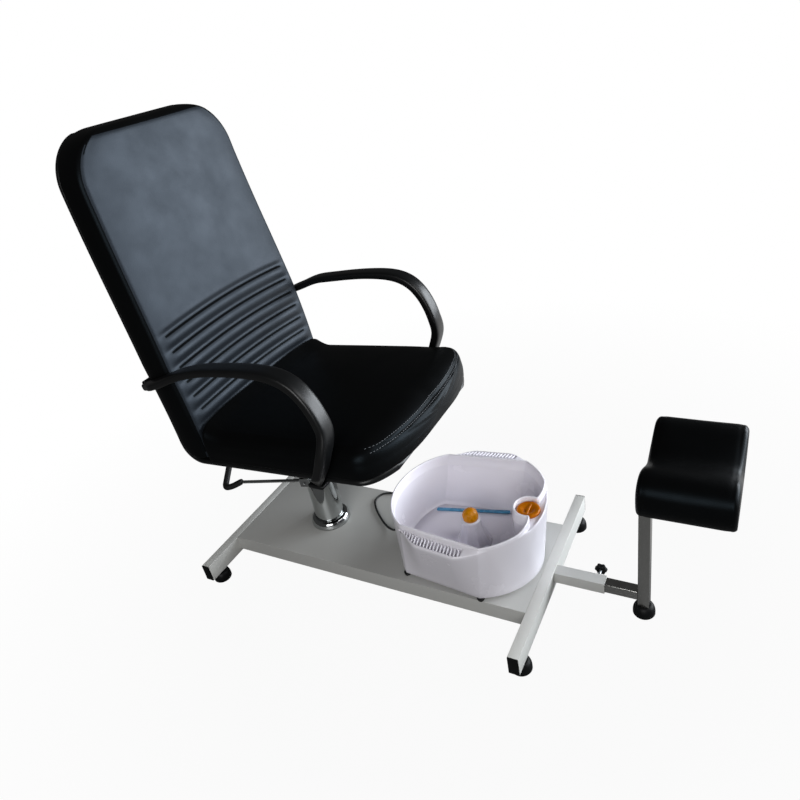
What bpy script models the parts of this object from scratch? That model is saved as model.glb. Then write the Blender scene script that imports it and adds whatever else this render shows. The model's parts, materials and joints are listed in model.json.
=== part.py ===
"""Pedicure chair: an upholstered swivel chair on a pump column, with a foot bath and a sliding calf rest.

Units are metres, +Z is up and the chair faces -Y. Sizes are first laid out from the column's axis,
and the root empty then moves the whole object so that its box is centred on the origin.
"""
import math

import bmesh
import bpy
from mathutils import Matrix, Vector

# Clearances
GAP = 0.0003            # between faces that touch
HOLE_GAP = 0.0003       # radial clearance of a bolt or shaft in its hole
WELD = 0.00001          # points closer than this are one
CURVE_STEPS = 16        # between two knots of a smooth curve

# Levelling feet
GLIDE_R = 0.025
GLIDE_H = 0.030
GLIDE_TOP_R = 0.013
STUD_R = 0.004
STUD_LEN = 0.024
GLIDE_INSET = 0.040     # from the end of a cross tube to the foot's axis

# Base frame
TUBE_W = 0.025
TUBE_H = 0.050
TUBE_WALL = 0.002
CROSS_LEN = 0.560
REAR_TUBE_Y = 0.2455
FRONT_TUBE_Y = -0.650
CAP_FLANGE = 0.003
CAP_PLUG = 0.012
DECK_W = 0.310
DECK_SHEET = 0.002
DECK_FLANGE = 0.044

# Calf rest slide
SLEEVE = 0.030
SLEEVE_WALL = 0.0022
SLEEVE_TOP_DROP = 0.0035   # below the top of the cross tube
SLEEVE_FRONT = 0.119       # in front of the front cross tube
SLEEVE_REAR = 0.190        # behind the front cross tube
SLIDE_OUT = 0.0743         # bare length of the inner tube
SLIDE_IN = 0.284           # length inside the sleeve
POST = 0.025
POST_WALL = 0.002
POST_FLOOR = 0.004
KNOB_SETBACK = 0.021       # from the sleeve's front end to the clamp screw
BOSS_R = 0.008
BOSS_LEN = 0.008
SCREW_R = 0.004
SCREW_LEN = 0.028
KNOB_R = 0.0134
KNOB_LEN = 0.012
KNOB_LOBES = 6
KNOB_WAVE = 0.0015

# Calf pad
PAD_BASE_Z = 0.386         # underside of the pad
PAD_LEN = 0.174
PAD_REAR_LAP = 0.002       # pad's rear end in front of the post's axis
PAD_HALF = 0.134
PAD_FOOT_HALF = 0.110
PAD_H = 0.095
PAD_GROOVE = 0.027
BOARD_T = 0.010
BOARD_HALF = 0.095
BOARD_MARGIN = 0.012
PLATE_T = 0.004
PLATE_HALF = 0.038
PLATE_LEN = 0.150
PAD_SCREW_R = 0.003
PAD_SCREW_HEAD_R = 0.006
PAD_SCREW_HEAD = 0.003
PAD_SCREW_NEAR = 0.045     # from the post's axis
PAD_SCREW_FAR = 0.115

# Lift column
PUMP_R = 0.041
PUMP_H = 0.254
PUMP_BORE = 0.030
PUMP_FLOOR = 0.010
PUMP_LIP = 0.016
PUMP_STEPS = 32
FLANGE_R = 0.056
FLANGE_H = 0.022
PISTON_R = 0.026
PISTON_HEAD_R = 0.0297
PISTON_HEAD = 0.016
PISTON_SHOW = 0.088        # bare rod above the cylinder at the lowest seat
SOCKET_DEPTH = 0.018

# Pump lever
LEVER_ANGLE = 107.0        # heading of the rod, degrees from +X
LEVER_Z = 0.180            # above the deck
LEVER_OUT = 0.014          # from the cylinder's wall to the pivot
LEVER_ROD_R = 0.0045
LEVER_LEVEL = 0.188        # length of the bare rod
LEVER_DIP = 0.0178         # how far the grip drops to its bend
LEVER_DIP_RUN = 0.0622     # from the rod's end to the bend
GRIP_LEAD = 0.006          # straight start of the grip against the rod's end
PEDAL_SIDE = 0.0634        # cross part of the grip beyond the bend, sideways and up
PEDAL_RISE = 0.0401
GRIP_R = 0.0085
BRACKET_W = 0.024
BRACKET_H = 0.026
BRACKET_CHEEK = 0.006
BRACKET_LEN = 0.028
EYE_R = 0.0075
EYE_PLAY = 0.0006
PIN_R = 0.003

# Chair shell
MOUNT_SIDE = 0.160
MOUNT_T = 0.0235            # at its front edge
SEAT_TILT = 0.051          # rise per metre towards the front
SHELL_T = 0.014
SHELL_IN = 0.004           # shell's edge behind the cushion's edge
SEAT_FRONT = 0.420         # from the column's axis to the front edge
SEAT_HALF = 0.2580
SEAT_ROUND = 0.090         # depth of the rounded front
SEAT_PAD = 0.068
SEAT_CROWN = 0.014
SEAT_ROLL = 0.038
BACK_FOOT_Y = 0.176        # outer back, at the seat
BACK_LEAN = 0.092
BACK_THICK = 0.084
BEND_R = 0.055             # outer bend between seat and back
BACK_H = 0.768             # above the shell's rear underside
LEAN_START = 0.008
LEAN_END = 0.828
BACK_HALF = 0.2580
BACK_TOP_HALF = 0.2320
TAPER_START = 0.268
TOP_ROUND = 0.105
BACK_CROWN = 0.005
CHANNELS = 7
CHANNEL_TOP = 0.3328       # top groove above the shell's rear underside
CHANNEL_STEP = 0.038
CHANNEL_DEPTH = 0.009
SIDE_DRAW = 0.008          # sides drawn in at the seams

# Arms
ARM_W = 0.043
ARM_T = 0.016
ARM_GAP = 0.0015           # between an arm and the upholstery
ARM_TAB = 0.075
ARM_TAB_T = 0.010
ARM_TAB_H = 0.025
ARM_TOP = 0.300           # top of the arch above the shell's rear underside
ARM_PEAK_Y = -0.120
ARM_FRONT = 0.306          # from the column's axis
ARM_REAR_Z = 0.2228        # rear end above the shell's rear underside
ARM_FOOT_Y = -0.225
ARM_BOW = 0.016            # how far the arch leans in over the seat
ARM_LEAN_Y = 0.112         # in front of the back
ARM_LEAN_Z = 0.545         # above the seat's side
ARM_BEND_T = 0.022         # thickness at the front bend
ARM_STATIONS = 26
BOLT_R = 0.004
BOLT_HEAD_R = 0.0065
BOLT_HEAD = 0.005
BOLT_BITE = 0.009          # thread inside the shell
MOUNT_BOLT_PITCH = 0.120

# Foot bath
TUB_X = -0.013
TUB_REAR_Y = -0.270
TUB_LEN = 0.380
TUB_REAR_HALF = 0.146
TUB_FRONT_HALF = 0.167
TUB_REAR_BOW = 0.078
TUB_FRONT_BOW = 0.095
TUB_H = 0.187
TUB_CORNER = math.radians(25.0)   # angle at which the bowed ends leave the sides
TUB_DRAFT = 0.024          # how far the base lies inside the shoulder, at the sides, front and rear
TUB_FRONT_DRAFT = 0.016
TUB_REAR_DRAFT = 0.004
TUB_BASE_SHIFT = 0.028     # how far the base's corners lie behind the rim's
TUB_LEDGE = 0.040          # widest reach of the side ledges beyond the rim
TUB_LEDGE_DROP = 0.010     # outer edge of the ledges below the rim
LEDGE_REAR = 0.85          # where the ledges begin and end, as shares of the bows
LEDGE_FRONT = 0.80
LEDGE_RAMP = 0.32
TUB_ARC_STEPS = 14
TUB_SIDE_STEPS = 6
TUB_WALL = 0.006
TUB_FLOOR = 0.037          # tub floor above the tub's underside
TUB_FLOOR_T = 0.007
TUB_COVE = 0.016           # height of the sloped edge round the floor
TUB_FOOT_H = 0.008
TUB_FOOT_R = 0.010
COVER_T = 0.003
DIAL_R = 0.0275
DIAL_H = 0.020
DIAL_DROP = 0.008          # top of the dial below the rim
DIAL_SETBACK = 0.037       # dial's axis behind the tub's front
POCKET_GAP = 0.0035
POCKET_WALL = 0.006
POCKET_FLOOR = 0.006
SHAFT_R = 0.003
SWITCH_R = 0.015
SWITCH_H = 0.022
PEDESTAL_R = 0.046
PEDESTAL_TOP_R = 0.024
PEDESTAL_H = 0.074
PEDESTAL_BACK = 0.190      # pedestal's axis in front of the tub's rear end
PEG_R = 0.007
PEG_H = 0.012
CAP_R = 0.020
CAP_H = 0.030
STRIP_LEN = 0.200
STRIP_W = 0.011
STRIP_H = 0.004
STRIP_ANGLE = 12.0
STRIP_X = 0.1052           # strip's middle to the right of the tub's axis
STRIP_Y = 0.1444           # and in front of the tub's rear end
AIR_PUMP = (0.090, 0.060, 0.024)
AIR_PUMP_BACK = 0.200

# Mains cord
CORD_R = 0.003
GLAND_R = 0.007
GLAND_LEN = 0.026
GLAND_NECK_R = 0.005
GLAND_NECK = 0.010
GLAND_Z = 0.019            # above the tub's underside
COIL_X = 0.236
COIL_Y = -0.420
COIL_R_OUT = 0.041
COIL_PITCH = 0.0066
COIL_TURNS = 2             # turns in each layer
COIL_LIFT = 0.0016         # the tie's thickness under the coil
COIL_TAIL = 0.016
PLUG_TAIL = 0.037          # straight cord from the coil's upper layer to the plug
LOOP_POINTS = 24
TIE_T = 0.0012
TIE_W = 0.008
TIE_GAP = 0.0005
PLUG_LEN = 0.040
PLUG_W = 0.028
PIN_LEN = 0.019
PLUG_PIN_R = 0.0023
PLUG_PIN_PITCH = 0.019

# Heights and places that follow from the sizes above
TUBE_BOTTOM = GLIDE_H
DECK_TOP = TUBE_BOTTOM + TUBE_H
SLEEVE_Z = DECK_TOP - SLEEVE_TOP_DROP - SLEEVE / 2
SLEEVE_END_Y = FRONT_TUBE_Y - TUBE_W / 2 - SLEEVE_FRONT
SLEEVE_TAIL_Y = FRONT_TUBE_Y + TUBE_W / 2 + SLEEVE_REAR
SLIDE = SLEEVE - 2 * SLEEVE_WALL - 2 * HOLE_GAP
POST_Y = SLEEVE_END_Y - SLIDE_OUT - GAP - POST / 2
CLAMP_Y = SLEEVE_END_Y + KNOB_SETBACK
BOARD_Z = PAD_BASE_Z - GAP - BOARD_T
PLATE_Z = BOARD_Z - GAP - PLATE_T
PUMP_TOP = DECK_TOP + GAP + PUMP_H
MOUNT_Z = PUMP_TOP + PISTON_SHOW
SHELL_Z = MOUNT_Z + MOUNT_T - SEAT_TILT * MOUNT_SIDE / 2 + GAP
BEND_Y = BACK_FOOT_Y - BEND_R
SHELL_REAR_Z = SHELL_Z - SEAT_TILT * BEND_Y
BACK_TOP = SHELL_REAR_Z + BACK_H
ARM_X = max(SEAT_HALF, BACK_HALF) + ARM_GAP + ARM_W / 2
TUB_Z = DECK_TOP + TUB_FOOT_H + 2 * GAP
TUB_TOP = TUB_Z + TUB_H
TUB_SHOULDER = TUB_TOP - TUB_LEDGE_DROP
TUB_FRONT_Y = TUB_REAR_Y - TUB_LEN
TUB_FLOOR_Z = TUB_Z + TUB_FLOOR
DIAL_Y = TUB_FRONT_Y + DIAL_SETBACK
POCKET_Z = TUB_TOP - DIAL_DROP - DIAL_H - GAP
PEDESTAL_Y = TUB_REAR_Y - PEDESTAL_BACK
LEVER_HEADING = math.radians(LEVER_ANGLE)
LEVER_PIVOT = Vector((-(PUMP_R + LEVER_OUT), 0.0, DECK_TOP + LEVER_Z))
FRONT_END = POST_Y - PAD_REAR_LAP - PAD_LEN
REAR_END = max(REAR_TUBE_Y + GLIDE_R, BACK_FOOT_Y + BACK_LEAN)
ORIGIN_SHIFT = -(FRONT_END + REAR_END) / 2


def clear_scene():
    """Remove whatever the file holds."""
    for item in list(bpy.data.objects):
        bpy.data.objects.remove(item, do_unlink=True)


def make_collection(name):
    """Add a collection to the scene."""
    group = bpy.data.collections.new(name)
    bpy.context.scene.collection.children.link(group)
    return group


def make_material(name, colour, roughness, metallic=0.0):
    """A Principled BSDF with one colour."""
    material = bpy.data.materials.new(name)
    material.use_nodes = True
    shader = material.node_tree.nodes["Principled BSDF"]
    shader.inputs["Base Color"].default_value = (*colour, 1.0)
    shader.inputs["Roughness"].default_value = roughness
    shader.inputs["Metallic"].default_value = metallic
    return material


clear_scene()
PARTS = make_collection("pedicure_chair")
CUTTERS = make_collection("cutters")

GREY_PAINT = make_material("grey powder coat", (0.42, 0.43, 0.43), 0.45)
CHROME = make_material("chrome", (0.62, 0.62, 0.63), 0.10, 1.0)
STEEL = make_material("zinc plated steel", (0.50, 0.51, 0.52), 0.35, 1.0)
BLACK_PLASTIC = make_material("black plastic", (0.012, 0.012, 0.013), 0.30)
BLACK_RUBBER = make_material("black rubber", (0.014, 0.014, 0.014), 0.60)
LEATHER = make_material("black leatherette", (0.016, 0.017, 0.019), 0.42)
PLYWOOD = make_material("bent plywood", (0.42, 0.29, 0.17), 0.60)
WHITE_PLASTIC = make_material("white ABS", (0.82, 0.82, 0.85), 0.28)
ORANGE_PLASTIC = make_material("orange ABS", (0.80, 0.30, 0.02), 0.30)
YELLOW_PLASTIC = make_material("yellow ABS", (0.86, 0.48, 0.03), 0.30)
BLUE_PLASTIC = make_material("blue ABS", (0.02, 0.22, 0.46), 0.30)


def make_group(name, at, parent=None):
    """An empty on a joint's axis, placed in the column's frame."""
    empty = bpy.data.objects.new(name, None)
    empty.empty_display_size = 0.05
    empty["at"] = list(at)
    PARTS.objects.link(empty)
    if parent is not None:
        empty.parent = parent
        empty.location = Vector(at) - Vector(parent["at"])
    else:
        empty.location = Vector(at) + Vector((0.0, ORIGIN_SHIFT, 0.0))
    return empty


def place(item, group, at=(0.0, 0.0, 0.0), turn=None):
    """Hang an object on a group, at a point of the column's frame."""
    item.parent = group
    spot = Matrix.Translation(Vector(at) - Vector(group["at"]))
    item.matrix_local = spot @ turn.to_4x4() if turn is not None else spot
    return item


def new_object(name, mesh, material, collection=None):
    """Link a mesh as a named object."""
    item = bpy.data.objects.new(name, mesh)
    item.data.materials.append(material)
    (collection or PARTS).objects.link(item)
    return item


def from_bmesh(name, work, material):
    """Turn a bmesh into an object with its faces pointing out."""
    bmesh.ops.recalc_face_normals(work, faces=work.faces)
    mesh = bpy.data.meshes.new(name)
    work.to_mesh(mesh)
    work.free()
    return new_object(name, mesh, material)


def soften(item, angle=35.0):
    """Shade round faces smooth and keep the edges sharp."""
    item.data.shade_smooth()
    item.data.set_sharp_from_angle(angle=math.radians(angle))
    return item


def box(name, size, material, bevel=0.0):
    """A cuboid about its own centre."""
    work = bmesh.new()
    bmesh.ops.create_cube(work, size=1.0)
    bmesh.ops.scale(work, vec=Vector(size), verts=work.verts)
    item = from_bmesh(name, work, material)
    if bevel > 0.0:
        edge = item.modifiers.new("rounded edges", "BEVEL")
        edge.width = bevel
        edge.segments = 1
    return item


def cylinder(name, radius, depth, material, top_radius=None, segments=24):
    """A cylinder or cone about its own centre, along Z."""
    work = bmesh.new()
    bmesh.ops.create_cone(work, cap_ends=True, segments=segments, radius1=radius,
                          radius2=radius if top_radius is None else top_radius, depth=depth)
    return soften(from_bmesh(name, work, material))


def turned(name, profile, material, steps=24, closed=False):
    """A profile of (radius, height) points turned about Z; the outer side runs from top to bottom."""
    mesh = bpy.data.meshes.new(name)
    count = len(profile)
    edges = [(i, i + 1) for i in range(count - 1)]
    if closed:
        edges.append((count - 1, 0))
    mesh.from_pydata([(radius, 0.0, height) for radius, height in profile], edges, [])
    item = new_object(name, mesh, material)
    screw = item.modifiers.new("turned", "SCREW")
    screw.steps = steps
    screw.render_steps = steps
    screw.use_merge_vertices = True
    screw.merge_threshold = WELD
    screw.use_smooth_shade = False
    return item


def solid_from_curve(item, material):
    """Make a curve object a welded mesh object of the same name."""
    name = item.name
    bpy.context.view_layer.update()
    graph = bpy.context.evaluated_depsgraph_get()
    mesh = bpy.data.meshes.new_from_object(item.evaluated_get(graph))
    matrix = item.matrix_world.copy()
    bpy.data.objects.remove(item, do_unlink=True)
    work = bmesh.new()
    work.from_mesh(mesh)
    bmesh.ops.remove_doubles(work, verts=work.verts, dist=WELD)
    bmesh.ops.recalc_face_normals(work, faces=work.faces)
    work.to_mesh(mesh)
    work.free()
    mesh.materials.clear()
    mesh.name = name
    solid = new_object(name, mesh, material)
    solid.matrix_world = matrix
    return solid


def extruded(name, outlines, depth, material):
    """Flat outlines in XY, the later ones holes in the first, extruded along Z about the middle."""
    curve = bpy.data.curves.new(name, "CURVE")
    curve.dimensions = "2D"
    curve.fill_mode = "BOTH"
    curve.extrude = depth / 2
    for outline in outlines:
        spline = curve.splines.new("POLY")
        spline.points.add(len(outline) - 1)
        for point, (x, y) in zip(spline.points, outline):
            point.co = (x, y, 0.0, 1.0)
        spline.use_cyclic_u = True
    item = bpy.data.objects.new(name, curve)
    PARTS.objects.link(item)
    return solid_from_curve(item, material)


def swept(name, points, radius, material, resolution=2):
    """A round bar along a list of points, with closed ends."""
    curve = bpy.data.curves.new(name, "CURVE")
    curve.dimensions = "3D"
    curve.bevel_depth = radius
    curve.bevel_resolution = resolution
    curve.use_fill_caps = True
    spline = curve.splines.new("POLY")
    spline.points.add(len(points) - 1)
    for point, place_of in zip(spline.points, points):
        point.co = (*place_of, 1.0)
    item = bpy.data.objects.new(name, curve)
    PARTS.objects.link(item)
    return soften(solid_from_curve(item, material))


def lofted(name, rings, material):
    """Skin a row of closed rings that have the same number of points, and close both ends."""
    work = bmesh.new()
    rows = [[work.verts.new(point) for point in ring] for ring in rings]
    count = len(rings[0])
    for lower, upper in zip(rows, rows[1:]):
        for i in range(count):
            j = (i + 1) % count
            work.faces.new((lower[i], lower[j], upper[j], upper[i]))
    work.faces.new(rows[0])
    work.faces.new(rows[-1])
    bmesh.ops.triangulate(work, faces=[face for face in work.faces if len(face.verts) > 4])
    return soften(from_bmesh(name, work, material), 50.0)


def cut(item, cutter, operation="DIFFERENCE"):
    """Take a cutter out of an object, or join it on; the cutter stays as a hidden guide."""
    for owner in list(cutter.users_collection):
        owner.objects.unlink(cutter)
    CUTTERS.objects.link(cutter)
    cutter.hide_render = True
    cutter.display_type = "WIRE"
    step = item.modifiers.new("joined" if operation == "UNION" else "cut", "BOOLEAN")
    step.operation = operation
    step.object = cutter
    return item


def rectangle(width, height):
    """Corner points of a rectangle about the origin."""
    x = width / 2
    y = height / 2
    return [(-x, -y), (x, -y), (x, y), (-x, y)]


def square_tube(name, width, height, wall, length, material):
    """A rectangular tube along Z."""
    return extruded(name, [rectangle(width, height), rectangle(width - 2 * wall, height - 2 * wall)],
                    length, material)


def smooth(value):
    """Smooth step from 0 to 1."""
    t = min(max(value, 0.0), 1.0)
    return t * t * (3.0 - 2.0 * t)


def through_points(points, count):
    """Points at even spacing on a smooth curve through the given ones."""
    ends = [2 * Vector(points[0]) - Vector(points[1]), 2 * Vector(points[-1]) - Vector(points[-2])]
    knots = [ends[0]] + [Vector(point) for point in points] + [ends[1]]
    fine = []
    for a, b, c, d in zip(knots, knots[1:], knots[2:], knots[3:]):
        for step in range(CURVE_STEPS):
            t = step / CURVE_STEPS
            fine.append(0.5 * (2 * b + (c - a) * t + (2 * a - 5 * b + 4 * c - d) * t * t
                               + (3 * b - a - 3 * c + d) * t ** 3))
    fine.append(knots[-2])
    reach = [0.0]
    for a, b in zip(fine, fine[1:]):
        reach.append(reach[-1] + (b - a).length)
    spaced = []
    index = 0
    for step in range(count):
        goal = reach[-1] * step / (count - 1)
        while index < len(fine) - 2 and reach[index + 1] < goal:
            index += 1
        span = max(reach[index + 1] - reach[index], WELD)
        spaced.append(fine[index].lerp(fine[index + 1], (goal - reach[index]) / span))
    return spaced


TURN_TO_Y = Matrix.Rotation(math.radians(90.0), 3, "X")     # local Z runs along -Y
TURN_TO_X = Matrix.Rotation(math.radians(90.0), 3, "Y")     # local Z runs along +X
SIDE_VIEW = Matrix(((0.0, 0.0, 1.0), (1.0, 0.0, 0.0), (0.0, 1.0, 0.0)))    # local XYZ to world YZX


def build_base(root):
    """Deck, cross tubes, end caps and levelling feet."""
    half = DECK_W / 2
    inner = half - DECK_SHEET
    drop = DECK_FLANGE
    outline = [(-half, -drop), (-inner, -drop), (-inner, -DECK_SHEET), (inner, -DECK_SHEET),
               (inner, -drop), (half, -drop), (half, 0.0), (-half, 0.0)]
    rear_edge = REAR_TUBE_Y - TUBE_W / 2 - GAP
    front_edge = FRONT_TUBE_Y + TUBE_W / 2 + GAP
    deck = extruded("deck_panel", [outline], rear_edge - front_edge, GREY_PAINT)
    place(deck, root, (0.0, (rear_edge + front_edge) / 2, DECK_TOP), TURN_TO_Y)

    turn = SIDE_VIEW
    for end, tube_y in (("rear", REAR_TUBE_Y), ("front", FRONT_TUBE_Y)):
        tube = square_tube(f"{end}_cross_tube", TUBE_W, TUBE_H, TUBE_WALL, CROSS_LEN, GREY_PAINT)
        middle = (0.0, tube_y, TUBE_BOTTOM + TUBE_H / 2)
        place(tube, root, middle, turn)
        for side, sign in (("left", 1.0), ("right", -1.0)):
            build_end_cap(root, f"end_cap_{end}_{side}", sign, tube_y)
            foot_x = sign * (CROSS_LEN / 2 - GLIDE_INSET)
            hole = cylinder(f"{end}_{side}_stud_hole", STUD_R + HOLE_GAP, 3 * TUBE_WALL, STEEL, segments=16)
            place(hole, root, (foot_x, tube_y, TUBE_BOTTOM + TUBE_WALL / 2))
            cut(tube, hole)
            at = (foot_x, tube_y, 0.0)
            group = make_group(f"glide_{end}_{side}_axis", at, root)
            build_glide(group, f"glide_{end}_{side}", at)
        if end == "front":
            window = box("sleeve_window", (SLEEVE + 2 * GAP, TUBE_W * 2, SLEEVE + 2 * GAP), STEEL)
            place(window, root, (0.0, tube_y, SLEEVE_Z))
            cut(tube, window)


def build_end_cap(root, name, sign, tube_y):
    """A black plug: a flange over the tube's end and a shank inside it."""
    shank_w = TUBE_W - 2 * TUBE_WALL - 2 * GAP
    shank_h = TUBE_H - 2 * TUBE_WALL - 2 * GAP
    rings = []
    for width, height, depth in ((TUBE_W, TUBE_H, CAP_FLANGE), (TUBE_W, TUBE_H, GAP),
                                 (shank_w, shank_h, GAP), (shank_w, shank_h, -CAP_PLUG)):
        rings.append([(sign * depth, y, z) for y, z in rectangle(width, height)])
    cap = lofted(name, rings, BLACK_PLASTIC)
    place(cap, root, (sign * CROSS_LEN / 2, tube_y, TUBE_BOTTOM + TUBE_H / 2))


def build_glide(group, name, at):
    """A domed levelling foot with its threaded stud, standing on the floor at its axis."""
    top = GLIDE_H - GAP
    dome = []
    for step in range(6):
        t = step / 5
        dome.append((GLIDE_TOP_R + (GLIDE_R - GLIDE_TOP_R) * math.sin(t * math.pi / 2),
                     0.30 * GLIDE_H + (top - 0.30 * GLIDE_H) * math.cos(t * math.pi / 2)))
    profile = [(0.0, top + STUD_LEN), (STUD_R, top + STUD_LEN), (STUD_R, top)]
    profile += dome + [(GLIDE_R, 0.08 * GLIDE_H), (0.94 * GLIDE_R, 0.0), (0.0, 0.0)]
    place(turned(name, profile, BLACK_PLASTIC, steps=20), group, at)


def build_slide(root):
    """Sleeve under the deck, and the clamp screw with its knob."""
    length = SLEEVE_TAIL_Y - SLEEVE_END_Y
    sleeve = square_tube("footrest_sleeve", SLEEVE, SLEEVE, SLEEVE_WALL, length, GREY_PAINT)
    place(sleeve, root, (0.0, (SLEEVE_TAIL_Y + SLEEVE_END_Y) / 2, SLEEVE_Z), TURN_TO_Y)
    sunk = SLEEVE_WALL / 2
    boss = cylinder("clamp_boss", BOSS_R, BOSS_LEN + sunk, STEEL, segments=16)
    place(boss, root, (SLEEVE / 2 + (BOSS_LEN - sunk) / 2, CLAMP_Y, SLEEVE_Z), TURN_TO_X)
    cut(sleeve, boss, "UNION")
    hole = cylinder("clamp_hole", SCREW_R + HOLE_GAP, 4 * BOSS_LEN, STEEL, segments=16)
    place(hole, root, (SLEEVE / 2 + BOSS_LEN, CLAMP_Y, SLEEVE_Z), TURN_TO_X)
    cut(sleeve, hole)

    group = make_group("clamp_axis", (0.0, CLAMP_Y, SLEEVE_Z), root)
    tip = SLIDE / 2 + GAP
    screw = cylinder("clamp_screw", SCREW_R, SCREW_LEN, CHROME, segments=16)
    place(screw, group, (tip + SCREW_LEN / 2, CLAMP_Y, SLEEVE_Z), TURN_TO_X)
    outline = []
    for step in range(8 * KNOB_LOBES):
        angle = 2 * math.pi * step / (8 * KNOB_LOBES)
        radius = KNOB_R + KNOB_WAVE * math.cos(KNOB_LOBES * angle)
        outline.append((radius * math.cos(angle), radius * math.sin(angle)))
    knob = extruded("clamp_knob", [outline], KNOB_LEN, BLACK_PLASTIC)
    place(knob, group, (tip + SCREW_LEN + GAP + KNOB_LEN / 2, CLAMP_Y, SLEEVE_Z), TURN_TO_X)


def build_footrest(root):
    """Inner tube, post, plate, board, pad and the post's own levelling foot."""
    group = make_group("footrest_slide", (0.0, POST_Y, SLEEVE_Z), root)
    length = SLIDE_OUT + SLIDE_IN
    tube = square_tube("slide_tube", SLIDE, SLIDE, POST_WALL, length, CHROME)
    place(tube, group, (0.0, POST_Y + POST / 2 + GAP + length / 2, SLEEVE_Z), TURN_TO_Y)

    post_top = PLATE_Z - GAP
    height = post_top - TUBE_BOTTOM
    post = box("footrest_post", (POST, POST, height), CHROME)
    place(post, group, (0.0, POST_Y, TUBE_BOTTOM + height / 2))
    bore = POST - 2 * POST_WALL
    hollow = box("post_hollow", (bore, bore, height), STEEL)
    place(hollow, group, (0.0, POST_Y, TUBE_BOTTOM + POST_FLOOR + height / 2))
    cut(post, hollow)
    hole = cylinder("post_stud_hole", STUD_R + HOLE_GAP, 3 * POST_FLOOR, STEEL, segments=16)
    place(hole, group, (0.0, POST_Y, TUBE_BOTTOM + POST_FLOOR / 2))
    cut(post, hole)
    foot = make_group("post_glide_axis", (0.0, POST_Y, 0.0), group)
    build_glide(foot, "post_glide", (0.0, POST_Y, 0.0))

    plate_rear = POST_Y + POST / 2
    plate = box("footrest_plate", (2 * PLATE_HALF, PLATE_LEN, PLATE_T), STEEL)
    place(plate, group, (0.0, plate_rear - PLATE_LEN / 2, PLATE_Z + PLATE_T / 2))
    board_len = PAD_LEN - 2 * BOARD_MARGIN
    pad_middle = POST_Y - PAD_REAR_LAP - PAD_LEN / 2
    board = box("footrest_board", (2 * BOARD_HALF, board_len, BOARD_T), PLYWOOD)
    place(board, group, (0.0, pad_middle, BOARD_Z + BOARD_T / 2))
    bite = BOARD_T - 0.002
    for name, reach in (("pad_screw_rear", PAD_SCREW_NEAR), ("pad_screw_front", PAD_SCREW_FAR)):
        at = (0.0, POST_Y - reach, PLATE_Z)
        hole = cylinder(name + "_hole", PAD_SCREW_R + HOLE_GAP, 2 * (PLATE_T + GAP + bite + GAP), STEEL,
                        segments=12)
        place(hole, group, at)
        cut(plate, hole)
        cut(board, hole)
        screw_top = PLATE_T + GAP + bite
        profile = [(0.0, screw_top), (PAD_SCREW_R, screw_top), (PAD_SCREW_R, -GAP), (PAD_SCREW_HEAD_R, -GAP),
                   (PAD_SCREW_HEAD_R * 0.7, -GAP - PAD_SCREW_HEAD), (0.0, -GAP - PAD_SCREW_HEAD)]
        place(turned(name, profile, STEEL, steps=12), group, at)
    build_pad(group)


def pad_top(x):
    """Height of the pad's gutter above its lips' crest, with rolled edges."""
    share = min(abs(x) / PAD_HALF, 1.0)
    groove = -PAD_GROOVE * 0.5 * (1.0 + math.cos(math.pi * min(share / 0.72, 1.0)))
    edge = max(share - 0.72, 0.0) / 0.28
    return groove - 0.030 * (1.0 - math.sqrt(max(1.0 - edge * edge, 0.0)))


def build_pad(group):
    """Gutter-shaped calf pad: one section carried along Y, drawn in and rolled at both ends."""
    shares = [-1.0, -0.93, -0.8, -0.62, -0.42, -0.21, 0.0, 0.21, 0.42, 0.62, 0.8, 0.93, 1.0]
    rear = POST_Y - PAD_REAR_LAP
    rings = []
    for along, draw in ((0.0, 0.012), (0.02, 0.005), (0.07, 0.0), (0.35, -0.001), (0.65, -0.001),
                        (0.93, 0.0), (0.98, 0.005), (1.0, 0.012)):
        y = rear - along * PAD_LEN
        low = PAD_BASE_Z + max(draw, 0.0)
        foot = PAD_FOOT_HALF - draw
        ring = [(-foot, y, low), (-foot * 0.4, y, low), (foot * 0.4, y, low), (foot, y, low)]
        ring.append((0.5 * (foot + PAD_HALF) + 0.006 - draw, y, PAD_BASE_Z + 0.34 * PAD_H))
        for share in reversed(shares):
            x = share * (PAD_HALF - draw)
            ring.append((x, y, PAD_BASE_Z + PAD_H + pad_top(x) - draw))
        ring.append((-0.5 * (foot + PAD_HALF) - 0.006 + draw, y, PAD_BASE_Z + 0.34 * PAD_H))
        rings.append(ring)
    place(lofted("footrest_pad", rings, LEATHER), group, (0.0, 0.0, 0.0))


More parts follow.
